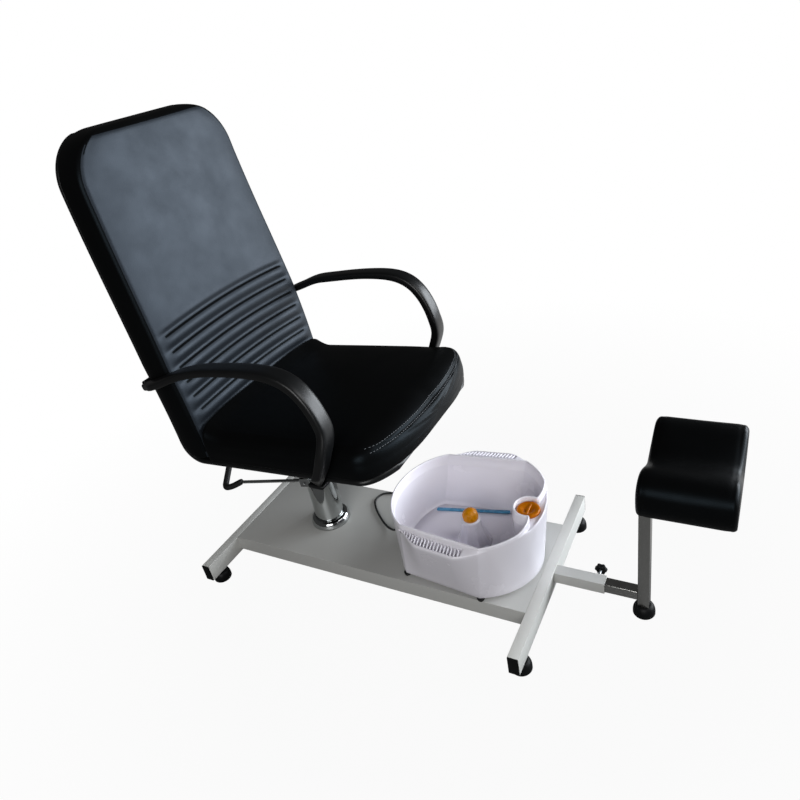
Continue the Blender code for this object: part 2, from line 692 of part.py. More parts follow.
def build_column(root):
    """Pump cylinder with its foot ring, and the piston that lifts and carries the chair."""
    bottom = DECK_TOP + GAP
    bore_top = PUMP_H - PUMP_LIP
    rod_hole = PISTON_R + HOLE_GAP
    profile = [(0.0, PUMP_FLOOR), (PUMP_BORE, PUMP_FLOOR), (PUMP_BORE, bore_top), (rod_hole, bore_top),
               (rod_hole, PUMP_H), (PUMP_R - 0.004, PUMP_H), (PUMP_R, PUMP_H - 0.004),
               (PUMP_R, 0.0), (0.0, 0.0)]
    place(turned("pump_cylinder", profile, CHROME, steps=PUMP_STEPS), root, (0.0, 0.0, bottom))
    inner = PUMP_R + GAP
    ring = [(inner, FLANGE_H), (inner + 0.003, FLANGE_H), (FLANGE_R - 0.002, FLANGE_H * 0.55),
            (FLANGE_R, FLANGE_H * 0.25), (FLANGE_R, 0.0), (inner, 0.0)]
    place(turned("pump_flange", ring, CHROME, steps=PUMP_STEPS, closed=True), root, (0.0, 0.0, bottom))

    lift = make_group("lift_axis", (0.0, 0.0, PUMP_TOP), root)
    head_z = bottom + PUMP_FLOOR + GAP
    top = MOUNT_Z + SOCKET_DEPTH - GAP - head_z
    shoulder = MOUNT_Z - GAP - head_z
    spigot = 0.85 * PISTON_R
    profile = [(0.0, top), (spigot, top), (spigot, shoulder), (PISTON_R, shoulder), (PISTON_R, PISTON_HEAD),
               (PISTON_HEAD_R, PISTON_HEAD), (PISTON_HEAD_R, 0.0), (0.0, 0.0)]
    place(turned("lift_piston", profile, CHROME, steps=28), lift, (0.0, 0.0, head_z))
    return lift


def build_lever(root):
    """Pump lever: bracket on the cylinder, pin, rod with an eye, and grip."""
    heading = Vector((math.cos(LEVER_HEADING), math.sin(LEVER_HEADING), 0.0))
    across = Vector((heading.y, -heading.x, 0.0))
    up = Vector((0.0, 0.0, 1.0))
    turn = Matrix((across, heading, up)).transposed()
    pin_turn = Matrix((up, heading, -across)).transposed()
    pivot = LEVER_PIVOT
    slot = BRACKET_W - 2 * BRACKET_CHEEK
    bracket = box("lever_bracket", (BRACKET_W, BRACKET_LEN, BRACKET_H), CHROME)
    place(bracket, root, pivot, turn)
    web = box("bracket_web", (PUMP_R, BRACKET_LEN, BRACKET_H), CHROME)
    place(web, root, pivot + Vector((PUMP_R / 2, 0.0, 0.0)))
    cut(bracket, web, "UNION")
    opening = box("bracket_slot", (slot, 3 * BRACKET_LEN, BRACKET_H - BRACKET_CHEEK), CHROME)
    slot_rear = EYE_R + 2 * EYE_PLAY
    place(opening, root, pivot + heading * (1.5 * BRACKET_LEN - slot_rear), turn)
    cut(bracket, opening)
    column = cylinder("bracket_saddle", PUMP_R + GAP, 3 * BRACKET_H, CHROME, segments=PUMP_STEPS)
    place(column, root, (0.0, 0.0, pivot.z))
    cut(bracket, column)
    hole = cylinder("pin_hole", PIN_R + HOLE_GAP, 2 * BRACKET_W, STEEL, segments=12)
    place(hole, root, pivot, pin_turn)
    cut(bracket, hole)
    place(cylinder("lever_pin", PIN_R, BRACKET_W, STEEL, segments=12), root, pivot, pin_turn)

    group = make_group("lever_axis", pivot, root)
    rod_end = LEVER_LEVEL
    rod_start = PIN_R + EYE_PLAY
    rod = swept("lever_rod", [pivot + heading * rod_start, pivot + heading * rod_end], LEVER_ROD_R, CHROME, 3)
    place(rod, group)
    eye = cylinder("lever_eye", EYE_R, slot - 2 * EYE_PLAY, CHROME, segments=20)
    place(eye, root, pivot, pin_turn)
    cut(rod, eye, "UNION")
    cut(rod, hole)
    bend = LEVER_LEVEL + LEVER_DIP_RUN
    low = -LEVER_DIP
    lead = rod_end + GRIP_LEAD
    path = [(rod_end + GAP, 0.0, 0.0), (lead, 0.0, 0.0), (lead + 0.009, 0.0, 0.24 * low),
            (lead + 0.027, 0.0, 0.70 * low), (bend - 0.0135, 0.0, 0.96 * low), (bend - 0.005, 0.002, low),
            (bend - 0.001, 0.008, 0.87 * low),
            (bend, 0.016, 0.63 * low), (bend, 0.016 + PEDAL_SIDE, 0.63 * low + PEDAL_RISE)]
    route = [pivot + heading * reach + across * side + up * rise for reach, side, rise in path]
    place(swept("lever_grip", route, GRIP_R, BLACK_RUBBER), group)


def seat_half(y):
    """Half-width of the seat at a depth, with its rounded front."""
    reach = y + SEAT_FRONT
    share = max(1.0 - reach / SEAT_ROUND, 0.0)
    return SEAT_HALF * (1.0 - share ** 2.2) ** (1.0 / 2.2)


def back_rear(z):
    """Outer face of the back at a height."""
    rise = z - SHELL_REAR_Z
    return BACK_FOOT_Y + BACK_LEAN * smooth((rise - LEAN_START) / (LEAN_END - LEAN_START))


def back_half(z):
    """Half-width of the back at a height, tapered and round at the top corners."""
    rise = z - SHELL_REAR_Z
    share = max(rise - TAPER_START, 0.0) / (BACK_H - TAPER_START)
    half = BACK_HALF + (BACK_TOP_HALF - BACK_HALF) * share
    over = max(z - (BACK_TOP - TOP_ROUND), 0.0)
    return half - TOP_ROUND + math.sqrt(max(TOP_ROUND ** 2 - over ** 2, 0.0))


def under_seat(y):
    """Underside of the shell below the seat."""
    return SHELL_Z - SEAT_TILT * y


def bend_angles():
    """Stations round the bend between seat and back."""
    return [math.radians(step * 18.0) for step in range(6)]


def back_heights():
    """Heights of the stations up the back: grooves and rolls of the channels, then the plain upper back."""
    groove = SHELL_REAR_Z + CHANNEL_TOP
    heights = []
    for index in range(CHANNELS):
        at = groove - index * CHANNEL_STEP
        heights += [at + 0.28 * CHANNEL_STEP, at, at - 0.28 * CHANNEL_STEP]
    lowest = SHELL_REAR_Z + BEND_R + 0.004
    heights = sorted(height for height in heights if height > lowest)
    start = heights[-1]
    shoulder = BACK_TOP - TOP_ROUND
    heights += [start + (shoulder - start) * step / 6 for step in range(1, 7)]
    heights += [shoulder + TOP_ROUND * math.sin(math.radians(angle)) for angle in (22.0, 42.0, 60.0, 75.0)]
    return heights


def build_shell(group):
    """One bent L of constant thickness: seat, bend and back."""
    rings = []

    def add_ring(half, outer, inner):
        rings.append([(-half, *outer), (half, *outer), (half, *inner), (-half, *inner)])

    for reach in (0.012, 0.022, 0.040, 0.065, 0.100, 0.250):
        y = reach - SEAT_FRONT
        z = under_seat(y)
        add_ring(seat_half(y) - SHELL_IN, (y, z), (y, z + SHELL_T))
    for angle in bend_angles():
        outer = (BEND_Y + BEND_R * math.sin(angle), SHELL_REAR_Z + BEND_R * (1.0 - math.cos(angle)))
        inner_r = BEND_R - SHELL_T
        inner = (BEND_Y + inner_r * math.sin(angle), SHELL_REAR_Z + BEND_R - inner_r * math.cos(angle))
        add_ring(min(SEAT_HALF, BACK_HALF) - SHELL_IN, outer, inner)
    for z in back_heights()[:-1]:
        y = back_rear(z)
        add_ring(back_half(z) - SHELL_IN, (y, z), (y - SHELL_T, z))
    shell = lofted("chair_shell", rings, BLACK_PLASTIC)
    return place(shell, group)


def build_seat_cushion(group):
    """Crowned seat cushion on the shell, with drawn-in sides and a rolled front."""
    shares = [-0.86, -0.62, -0.32, 0.0, 0.32, 0.62, 0.86]
    rear = BACK_FOOT_Y - BACK_THICK - GAP
    stations = [0.006, 0.014, 0.026, 0.042, 0.065, 0.095, 0.180, 0.300]
    depths = [reach - SEAT_FRONT for reach in stations] + [rear - 0.03, rear]
    rings = []
    for y in depths:
        half = seat_half(y)
        low = under_seat(y) + SHELL_T + GAP
        share = max(1.0 - (y + SEAT_FRONT) / SEAT_ROUND, 0.0)
        drop = SEAT_ROLL * (1.0 - math.sqrt(1.0 - share ** 2))
        edge = low + SEAT_PAD - drop
        tall = edge - low
        ring = [(-half + SIDE_DRAW, y, low), (half - SIDE_DRAW, y, low), (half, y, low + 0.35 * tall),
                (half, y, low + 0.70 * tall), (half - SIDE_DRAW, y, edge - 0.002)]
        for step in reversed(shares):
            ring.append((step * half, y, edge + SEAT_CROWN * (1.0 - abs(step) ** 2.5)))
        ring += [(-half + SIDE_DRAW, y, edge - 0.002), (-half, y, low + 0.70 * tall),
                 (-half, y, low + 0.35 * tall)]
        rings.append(ring)
    place(lofted("seat_cushion", rings, LEATHER), group)


def channel_depth(z):
    """Depth of the nearest sewn channel at a height."""
    from_top = (SHELL_REAR_Z + CHANNEL_TOP - z) / CHANNEL_STEP
    nearest = min(max(round(from_top), 0), CHANNELS - 1)
    return CHANNEL_DEPTH if abs(from_top - nearest) < 0.05 else 0.0


def build_back_cushion(group):
    """Back cushion on the shell: crown, drawn-in sides, sewn lumbar channels and round top corners."""
    shares = [0.9, 0.72, 0.42, 0.0, -0.42, -0.72, -0.9]
    inner_r = BEND_R - SHELL_T - GAP
    stations = []
    for angle in bend_angles():
        rear = (BEND_Y + inner_r * math.sin(angle), SHELL_REAR_Z + BEND_R - inner_r * math.cos(angle))
        stations.append((rear, min(SEAT_HALF, BACK_HALF), 0.0, SEAT_TILT))
    for z in back_heights():
        rear = (back_rear(z) - SHELL_T - GAP, z)
        over = max(z - (BACK_TOP - 0.5 * TOP_ROUND), 0.0) / (0.5 * TOP_ROUND)
        stations.append((rear, back_half(z), 0.55 * (BACK_THICK - SHELL_T) * over ** 2, 0.0))
    rings = []
    for (rear_y, rear_z), half, tuck, tilt in stations:
        front = back_rear(rear_z) - BACK_THICK
        groove = channel_depth(rear_z)
        middle = 0.5 * (front + rear_y) + 0.006
        edge = front + 0.009 + tuck
        section = [(-half + SIDE_DRAW, rear_y), (half - SIDE_DRAW, rear_y), (half, middle),
                   (half - 0.35 * SIDE_DRAW, edge)]
        for share in shares:
            curve = BACK_CROWN * abs(share) ** 2.6
            section.append((share * half, front + curve + tuck + groove * (1.0 - share ** 6)))
        section += [(-half + 0.35 * SIDE_DRAW, edge), (-half, middle)]
        rings.append([(x, y, rear_z + tilt * (rear_y - y)) for x, y in section])
    place(lofted("back_cushion", rings, LEATHER), group)


def rear_tab_slope():
    """Slope of the shell's outer face behind an arm's rear tab."""
    middle = SHELL_REAR_Z + ARM_REAR_Z
    return (back_rear(middle + ARM_TAB_H / 2) - back_rear(middle - ARM_TAB_H / 2)) / ARM_TAB_H


def arm_route():
    """Middle line of an arm in the side view, from the rear end to the foot under the seat."""
    top = SHELL_REAR_Z + ARM_TOP - ARM_T / 2
    rear = SHELL_REAR_Z + ARM_REAR_Z
    foot = under_seat(ARM_FOOT_Y) - GAP - ARM_TAB_T / 2
    front = -ARM_FRONT + ARM_T / 2
    low = foot + 0.150
    chord = 0.5 * (back_rear(rear + ARM_TAB_H / 2) + back_rear(rear - ARM_TAB_H / 2))
    rear_y = chord + (GAP + ARM_TAB_T / 2) * math.sqrt(1.0 + rear_tab_slope() ** 2)
    knots = [(0.0, rear_y, rear), (0.0, 0.6 * rear_y, rear + 0.38 * (top - rear)),
             (0.0, 0.15 * rear_y, rear + 0.78 * (top - rear)), (0.0, ARM_PEAK_Y, top),
             (0.0, 0.45 * ARM_PEAK_Y + 0.55 * front, top - 0.008),
             (0.0, 0.15 * ARM_PEAK_Y + 0.85 * front, top - 0.050),
             (0.0, front, low), (0.0, front + 0.020, foot + 0.075), (0.0, ARM_FOOT_Y, foot)]
    return through_points(knots, ARM_STATIONS)


def arm_lean(point):
    """How far the arch leans in over the seat: nothing beside the back and beside the seat's side."""
    return ARM_BOW * smooth((ARM_LEAN_Y - point.y) / 0.14) * smooth((point.z - ARM_LEAN_Z) / 0.07)


def build_arm(group, name, sign):
    """A flat band bent into a loop, with a tab behind the back and a tab under the seat."""
    route = arm_route()
    rings = []
    for index, point in enumerate(route):
        before = route[max(index - 1, 0)]
        after = route[min(index + 1, len(route) - 1)]
        along = (after - before).normalized()
        normal = Vector((0.0, -along.z, along.y))
        slim = 1.0 - 0.25 * smooth((6 - index) / 6)
        wide = ARM_W / 2
        bend = smooth((index - 10) / 6) * smooth((24 - index) / 4)
        thick = ARM_T / 2 * slim + (ARM_BEND_T - ARM_T) / 2 * bend
        middle = sign * (ARM_X - arm_lean(point))
        ring = []
        for u, v in ((-1.0, -0.45), (-0.8, -1.0), (0.8, -1.0), (1.0, -0.45),
                     (1.0, 0.45), (0.75, 1.0), (-0.75, 1.0), (-1.0, 0.45)):
            spot = point + normal * (v * thick)
            ring.append((middle + u * wide, spot.y, spot.z))
        rings.append(ring)
    arm = place(lofted(name, rings, BLACK_PLASTIC), group)
    rear = route[0]
    foot = route[-1]
    inner = ARM_X - ARM_W / 2
    reach = ARM_TAB + ARM_W / 2
    middle = sign * (inner + ARM_W / 2 - reach / 2)
    lean = Matrix.Rotation(-math.atan(rear_tab_slope()), 3, "X")
    rear_tab = box(name + "_rear_tab", (reach, ARM_TAB_T, ARM_TAB_H), BLACK_PLASTIC)
    place(rear_tab, group, (middle, rear.y, rear.z), lean)
    cut(arm, rear_tab, "UNION")
    foot_tab = box(name + "_foot_tab", (reach, 0.040, ARM_TAB_T), BLACK_PLASTIC)
    slope = Matrix.Rotation(-math.atan(SEAT_TILT), 3, "X")
    place(foot_tab, group, (middle, foot.y, foot.z), slope)
    cut(arm, foot_tab, "UNION")

    bolt_x = sign * (inner - 0.6 * ARM_TAB)
    shell = bpy.data.objects["chair_shell"]
    for label, spot, turn in (("rear", rear, lean @ TURN_TO_Y), ("front", foot, slope)):
        at = (bolt_x, spot.y, spot.z)
        bolt = bolt_solid(f"{name}_{label}_bolt", ARM_TAB_T, BOLT_BITE)
        place(bolt, group, at, turn)
        depth = ARM_TAB_T + 2 * (BOLT_BITE + 2 * GAP)
        hole = cylinder(f"{name}_{label}_bolt_hole", BOLT_R + HOLE_GAP, depth, STEEL, segments=12)
        place(hole, group, at, turn)
        cut(arm, hole)
        cut(shell, hole)


def bolt_solid(name, grip, bite):
    """A bolt along Z: its head below a plate of the given grip about the origin, its thread above."""
    top = grip / 2 + GAP + bite
    seat = -grip / 2 - GAP
    profile = [(0.0, top), (BOLT_R, top), (BOLT_R, seat), (BOLT_HEAD_R, seat),
               (BOLT_HEAD_R, seat - 0.7 * BOLT_HEAD), (0.8 * BOLT_HEAD_R, seat - BOLT_HEAD),
               (0.0, seat - BOLT_HEAD)]
    return turned(name, profile, STEEL, steps=12)


def build_chair(lift):
    """Everything that turns on the piston."""
    group = make_group("chair_swivel", (0.0, 0.0, MOUNT_Z), lift)
    side = MOUNT_SIDE / 2
    top = under_seat(0.0) - GAP - MOUNT_Z
    lean = SEAT_TILT * side
    mount = extruded("seat_mount", [[(-side, 0.0), (side, 0.0), (side, top - lean), (-side, top + lean)]],
                     MOUNT_SIDE, STEEL)
    place(mount, group, (0.0, 0.0, MOUNT_Z), SIDE_VIEW)
    socket = cylinder("piston_socket", 0.85 * PISTON_R + HOLE_GAP, 2 * SOCKET_DEPTH, STEEL, segments=28)
    place(socket, group, (0.0, 0.0, MOUNT_Z))
    cut(mount, socket)
    shell = build_shell(group)
    pitch = MOUNT_BOLT_PITCH / 2
    number = 0
    for x in (-pitch, pitch):
        for y in (-pitch, pitch):
            number += 1
            grip = under_seat(y) - GAP - MOUNT_Z
            at = (x, y, MOUNT_Z + grip / 2)
            bolt = bolt_solid(f"mount_bolt_{number}", grip, BOLT_BITE)
            place(bolt, group, at)
            depth = grip + 2 * (BOLT_BITE + 2 * GAP)
            hole = cylinder(f"mount_bolt_{number}_hole", BOLT_R + HOLE_GAP, depth, STEEL, segments=12)
            place(hole, group, at)
            cut(mount, hole)
            cut(shell, hole)
    build_seat_cushion(group)
    build_back_cushion(group)
    build_arm(group, "left_arm", 1.0)
    build_arm(group, "right_arm", -1.0)


def ledge_swell(y, reach):
    """How far a side ledge stands out at a depth: nothing at the ends, all of its reach in the middle."""
    rear = TUB_REAR_Y - LEDGE_REAR * TUB_REAR_BOW
    front = TUB_FRONT_Y + LEDGE_FRONT * TUB_FRONT_BOW
    share = (rear - y) / (rear - front)
    return reach * smooth(share / LEDGE_RAMP) * smooth((1.0 - share) / LEDGE_RAMP)


def base_share(z):
    """How near a height is to the tub's base: 1 at the base, 0 from the shoulder up."""
    return min(max((TUB_SHOULDER - z) / (TUB_SHOULDER - TUB_Z), 0.0), 1.0)


def end_arc(half, bow):
    """Half-widths and rises along a bowed end, which leaves the sides at the corner's angle."""
    span = math.pi - 2 * TUB_CORNER
    angles = [TUB_CORNER + span * step / TUB_ARC_STEPS for step in range(TUB_ARC_STEPS + 1)]
    low = math.sin(TUB_CORNER)
    wide = half / math.cos(TUB_CORNER)
    rise = bow / (1 - low)
    return [(wide * math.cos(a), rise * (math.sin(a) - low)) for a in angles]


def tub_outline(z, inward=0.0, reach=0.0):
    """Plan of the tub at a height, moved in by a wall and out by the ledges."""
    low = base_share(z)
    rear_y = TUB_REAR_Y - TUB_REAR_BOW + TUB_BASE_SHIFT * low
    front_y = TUB_FRONT_Y + TUB_FRONT_BOW + TUB_BASE_SHIFT * low
    rear_half = TUB_REAR_HALF - TUB_DRAFT * low - inward
    front_half = TUB_FRONT_HALF - TUB_DRAFT * low - inward
    rear_bow = TUB_REAR_Y - TUB_REAR_DRAFT * low - inward - rear_y
    front_bow = front_y - (TUB_FRONT_Y + TUB_FRONT_DRAFT * low + inward)
    side = [step / TUB_SIDE_STEPS for step in range(1, TUB_SIDE_STEPS)]
    points = [(x, rear_y + rise) for x, rise in end_arc(rear_half, rear_bow)]
    points += [(-rear_half + (rear_half - front_half) * t, rear_y + (front_y - rear_y) * t) for t in side]
    points += [(-x, front_y - rise) for x, rise in end_arc(front_half, front_bow)]
    points += [(front_half + (rear_half - front_half) * t, front_y + (rear_y - front_y) * t) for t in side]
    return [(x + math.copysign(ledge_swell(y, reach), x), y) for x, y in points]


def tub_solid(name, levels):
    """A loft of tub outlines: height, the height whose plan it has, a move inward and the ledges' reach."""
    rings = []
    for z, plan_z, inward, reach in levels:
        rings.append([(TUB_X + x, y, z) for x, y in tub_outline(plan_z, inward, reach)])
    return lofted(name, rings, WHITE_PLASTIC)


def build_tub(root):
    """Foot bath: tub, double bottom, control dial and floor fittings."""
    group = make_group("tub_lift", (TUB_X, PEDESTAL_Y, TUB_Z), root)
    tub = tub_solid("tub", [(TUB_Z, TUB_Z, 0.0, 0.0), (TUB_SHOULDER, TUB_SHOULDER, 0.0, TUB_LEDGE),
                            (TUB_TOP, TUB_TOP, 0.0, 0.0)])
    place(tub, group)
    bowl_low = TUB_FLOOR_Z + TUB_COVE
    over = 0.010
    bowl_levels = [(TUB_FLOOR_Z, TUB_FLOOR_Z, 2.0 * TUB_WALL, 0.0), (bowl_low, bowl_low, 1.3 * TUB_WALL, 0.0),
                   (TUB_TOP, TUB_TOP, TUB_WALL, 0.0), (TUB_TOP + over, TUB_TOP, TUB_WALL, 0.0)]
    bowl = tub_solid("tub_bowl", bowl_levels)
    place(bowl, group)
    boss_r = DIAL_R + POCKET_GAP + POCKET_WALL
    boss = cylinder("dial_boss", boss_r, 2 * TUB_H, WHITE_PLASTIC, segments=32)
    place(boss, group, (TUB_X, DIAL_Y, TUB_TOP - TUB_H / 2))
    cut(bowl, boss)
    cut(tub, bowl)
    pocket_r = DIAL_R + POCKET_GAP
    pocket = cylinder("dial_pocket", pocket_r, TUB_H, WHITE_PLASTIC, segments=32)
    place(pocket, group, (TUB_X, DIAL_Y, POCKET_Z + TUB_H / 2))
    cut(tub, pocket)
    chamber_top = TUB_FLOOR_Z - TUB_FLOOR_T
    cover_in = 2 * TUB_WALL
    chamber_in = 3 * TUB_WALL
    ledge_z = TUB_Z + COVER_T + GAP
    chamber = tub_solid("tub_chamber", [(TUB_Z - over, TUB_Z, cover_in, 0.0), (ledge_z, TUB_Z, cover_in, 0.0),
                                        (ledge_z, TUB_Z, chamber_in, 0.0),
                                        (chamber_top, TUB_Z, chamber_in, 0.0)])
    place(chamber, group)
    cut(tub, chamber)
    well_top = POCKET_Z - POCKET_FLOOR
    well_r = SWITCH_R + 0.004
    well = cylinder("switch_well", well_r, well_top - TUB_Z, WHITE_PLASTIC, segments=24)
    place(well, group, (TUB_X, DIAL_Y, (well_top + TUB_Z) / 2 + COVER_T))
    cut(tub, well)
    shaft_hole = cylinder("dial_shaft_hole", SHAFT_R + HOLE_GAP, 4 * POCKET_FLOOR, WHITE_PLASTIC, segments=16)
    place(shaft_hole, group, (TUB_X, DIAL_Y, POCKET_Z))
    cut(tub, shaft_hole)

    cover_edge = cover_in + GAP
    cover = tub_solid("tub_bottom_cover", [(TUB_Z, TUB_Z, cover_edge, 0.0),
                                           (TUB_Z + COVER_T, TUB_Z, cover_edge, 0.0)])
    place(cover, group)
    build_dial(group, well_top)
    build_floor_fittings(group)
    build_tub_feet(group)
    pump = box("air_pump", AIR_PUMP, BLACK_PLASTIC, bevel=0.002)
    place(pump, group, (TUB_X, TUB_REAR_Y - AIR_PUMP_BACK, TUB_Z + COVER_T + GAP + AIR_PUMP[2] / 2))
    build_cord(group)


def build_dial(group, well_top):
    """Dished orange dial with its shaft, and the rotary switch below it."""
    axis = make_group("dial_axis", (TUB_X, DIAL_Y, POCKET_Z), group)
    dish = 0.35 * DIAL_H
    shaft_end = -(POCKET_FLOOR + GAP)
    profile = [(0.0, DIAL_H - dish), (0.45 * DIAL_R, DIAL_H - 0.8 * dish), (0.78 * DIAL_R, DIAL_H),
               (0.94 * DIAL_R, DIAL_H), (DIAL_R, DIAL_H - 0.002), (DIAL_R, 0.0), (SHAFT_R, 0.0),
               (SHAFT_R, shaft_end), (0.0, shaft_end)]
    place(turned("control_dial", profile, ORANGE_PLASTIC, steps=28), axis, (TUB_X, DIAL_Y, POCKET_Z + GAP))
    switch_top = well_top - GAP
    switch = cylinder("rotary_switch", SWITCH_R, SWITCH_H, BLACK_PLASTIC, segments=20)
    place(switch, group, (TUB_X, DIAL_Y, switch_top - SWITCH_H / 2))


def build_floor_fittings(group):
    """Pedestal with its push-on cap, and the bubble strip."""
    base = TUB_FLOOR_Z + GAP
    top = PEDESTAL_H
    profile = [(0.0, top + PEG_H), (PEG_R, top + PEG_H), (PEG_R, top), (PEDESTAL_TOP_R - 0.003, top),
               (PEDESTAL_TOP_R, top - 0.003), (0.62 * PEDESTAL_R, 0.45 * top),
               (0.85 * PEDESTAL_R, 0.15 * top),
               (PEDESTAL_R, 0.0), (0.0, 0.0)]
    place(turned("massage_pedestal", profile, WHITE_PLASTIC, steps=20), group, (TUB_X, PEDESTAL_Y, base))
    cap_z = base + top + GAP
    axis = make_group("cap_axis", (TUB_X, PEDESTAL_Y, cap_z), group)
    bore = PEG_R + HOLE_GAP
    depth = PEG_H + GAP
    dome = [(CAP_R * math.cos(math.radians(a)), CAP_H * (0.35 + 0.65 * math.sin(math.radians(a))))
            for a in (80.0, 60.0, 40.0, 20.0, 0.0)]
    profile = [(0.0, CAP_H)] + dome + [(0.92 * CAP_R, 0.0), (bore, 0.0), (bore, depth), (0.0, depth)]
    place(turned("massage_cap", profile, YELLOW_PLASTIC, steps=20), axis, (TUB_X, PEDESTAL_Y, cap_z))
    strip = box("bubble_strip", (STRIP_W, STRIP_LEN, STRIP_H), BLUE_PLASTIC, bevel=0.001)
    turn = Matrix.Rotation(math.radians(STRIP_ANGLE), 3, "Z")
    place(strip, group, (TUB_X + STRIP_X, TUB_REAR_Y - STRIP_Y, base + STRIP_H / 2), turn)


def build_tub_feet(group):
    """Four rubber feet under the corners of the tub's base."""
    rear_y = TUB_REAR_Y - TUB_REAR_BOW + TUB_BASE_SHIFT
    front_y = TUB_FRONT_Y + TUB_FRONT_BOW + TUB_BASE_SHIFT
    inset = TUB_DRAFT + TUB_WALL
    number = 0
    for half, y in ((TUB_REAR_HALF, rear_y), (TUB_FRONT_HALF, front_y)):
        for sign in (-1.0, 1.0):
            number += 1
            foot = cylinder(f"tub_foot_{number}", 0.8 * TUB_FOOT_R, TUB_FOOT_H, BLACK_RUBBER,
                            top_radius=TUB_FOOT_R, segments=16)
            place(foot, group, (TUB_X + sign * (half - inset), y, DECK_TOP + GAP + TUB_FOOT_H / 2))


def coil_points():
    """Turns of the coil: a spiral in, a half turn that climbs, and a spiral out, with straight ends."""
    low = COIL_LIFT + CORD_R
    high = low + COIL_PITCH
    inner = COIL_R_OUT - COIL_TURNS * COIL_PITCH
    points = []
    steps = COIL_TURNS * LOOP_POINTS
    for step in range(steps + 1):
        angle = 2 * math.pi * step / LOOP_POINTS
        points.append((angle, COIL_R_OUT - COIL_PITCH * step / LOOP_POINTS, low))
    for step in range(1, LOOP_POINTS // 2):
        share = step / (LOOP_POINTS // 2)
        dip = 0.5 * COIL_PITCH * math.sin(math.pi * share)
        angle = 2 * math.pi * COIL_TURNS + math.pi * share
        points.append((angle, inner - dip, low + COIL_PITCH * smooth(share)))
    for step in range(steps + 1):
        angle = 2 * math.pi * COIL_TURNS + math.pi + 2 * math.pi * step / LOOP_POINTS
        points.append((angle, inner + COIL_PITCH * step / LOOP_POINTS, high))
    route = [Vector((COIL_X + radius * math.cos(angle), COIL_Y - radius * math.sin(angle), z))
             for angle, radius, z in points]
    return [route[0] + Vector((0.0, COIL_TAIL, 0.0))] + route + [route[-1] + Vector((0.0, PLUG_TAIL, 0.0))]


def least_gap(route, skip):
    """Least clear distance between stretches of a cord that are not neighbours."""
    least = 1.0
    for i, a in enumerate(route):
        for b in route[i + skip:]:
            least = min(least, (a - b).length)
    return least - 2 * CORD_R


def build_cord(group):
    """Gland on the tub, the cord over the deck's far edge, the stored coil with its tie, and the plug."""
    gland_z = TUB_Z + GLAND_Z
    wall_y = TUB_REAR_Y - TUB_REAR_DRAFT * base_share(gland_z)
    slope = math.atan(TUB_REAR_DRAFT / (TUB_SHOULDER - TUB_Z))
    out = Vector((0.0, math.cos(slope), -math.sin(slope)))
    turn = Matrix.Rotation(-math.pi / 2 - slope, 3, "X")
    base = Vector((TUB_X, wall_y, gland_z)) + GAP * out
    profile = [(0.0, GLAND_LEN), (1.35 * CORD_R, GLAND_LEN), (GLAND_R, 0.15 * GLAND_LEN), (GLAND_R, 0.0),
               (GLAND_NECK_R, 0.0), (GLAND_NECK_R, -GLAND_NECK), (0.0, -GLAND_NECK)]
    place(turned("cord_gland", profile, BLACK_RUBBER, steps=16), group, base, turn)
    depth = 2 * (GLAND_NECK + 2 * GAP)
    hole = cylinder("gland_hole", GLAND_NECK_R + HOLE_GAP, depth, WHITE_PLASTIC, segments=16)
    place(hole, group, base, turn)
    cut(bpy.data.objects["tub"], hole)

    coil = coil_points()
    rest_z = DECK_TOP + CORD_R + GAP
    start = coil[0]
    knots = [base + (GLAND_LEN + GAP) * out, base + (GLAND_LEN + 0.016) * out,
             (-0.006, -0.214, rest_z + 0.010), (0.010, -0.184, rest_z + 0.001), (0.037, -0.148, rest_z),
             (0.072, -0.112, rest_z), (0.104, -0.093, rest_z), (0.134, -0.100, rest_z),
             (0.1475, -0.130, rest_z),
             (0.1490, -0.170, rest_z), (0.1520, -0.208, rest_z + 0.0005), (0.1620, -0.242, rest_z - 0.001),
             (0.1780, -0.268, rest_z - 0.018), (0.1990, -0.289, rest_z - 0.046),
             (0.2240, -0.307, start.z + 0.010),
             (0.2520, -0.330, start.z), (0.2710, -0.362, start.z), (start.x, start.y + 0.016, start.z),
             (start.x, start.y + GAP, start.z)]
    route = through_points(knots, 46)
    place(swept("mains_cord", route, CORD_R, BLACK_RUBBER, resolution=2), group)
    place(swept("cord_coil", coil, CORD_R, BLACK_RUBBER, resolution=1), group)
    print("least gap of the coil to itself, mm:", round(1000 * least_gap(coil, LOOP_POINTS // 3), 3))
    build_tie(group)
    build_plug(group, coil[-1])


def build_tie(group):
    """A flat band round the coil's turns."""
    inner = COIL_R_OUT - COIL_TURNS * COIL_PITCH - CORD_R - TIE_GAP
    outer = COIL_R_OUT + CORD_R + TIE_GAP
    bottom = COIL_LIFT - TIE_GAP
    top = COIL_LIFT + 2 * CORD_R + COIL_PITCH + TIE_GAP
    hole = [(inner, bottom), (outer, bottom), (outer, top), (inner, top)]
    low = max(bottom - TIE_T, 0.0)
    band = [(inner - TIE_T, low), (outer + TIE_T, low), (outer + TIE_T, top + TIE_T),
            (inner - TIE_T, top + TIE_T)]
    tie = extruded("cord_tie", [band, hole], TIE_W, BLACK_PLASTIC)
    upright = Matrix(((0.0, 0.0, -1.0), (1.0, 0.0, 0.0), (0.0, 1.0, 0.0)))
    place(tie, group, (COIL_X, COIL_Y, 0.0), upright)


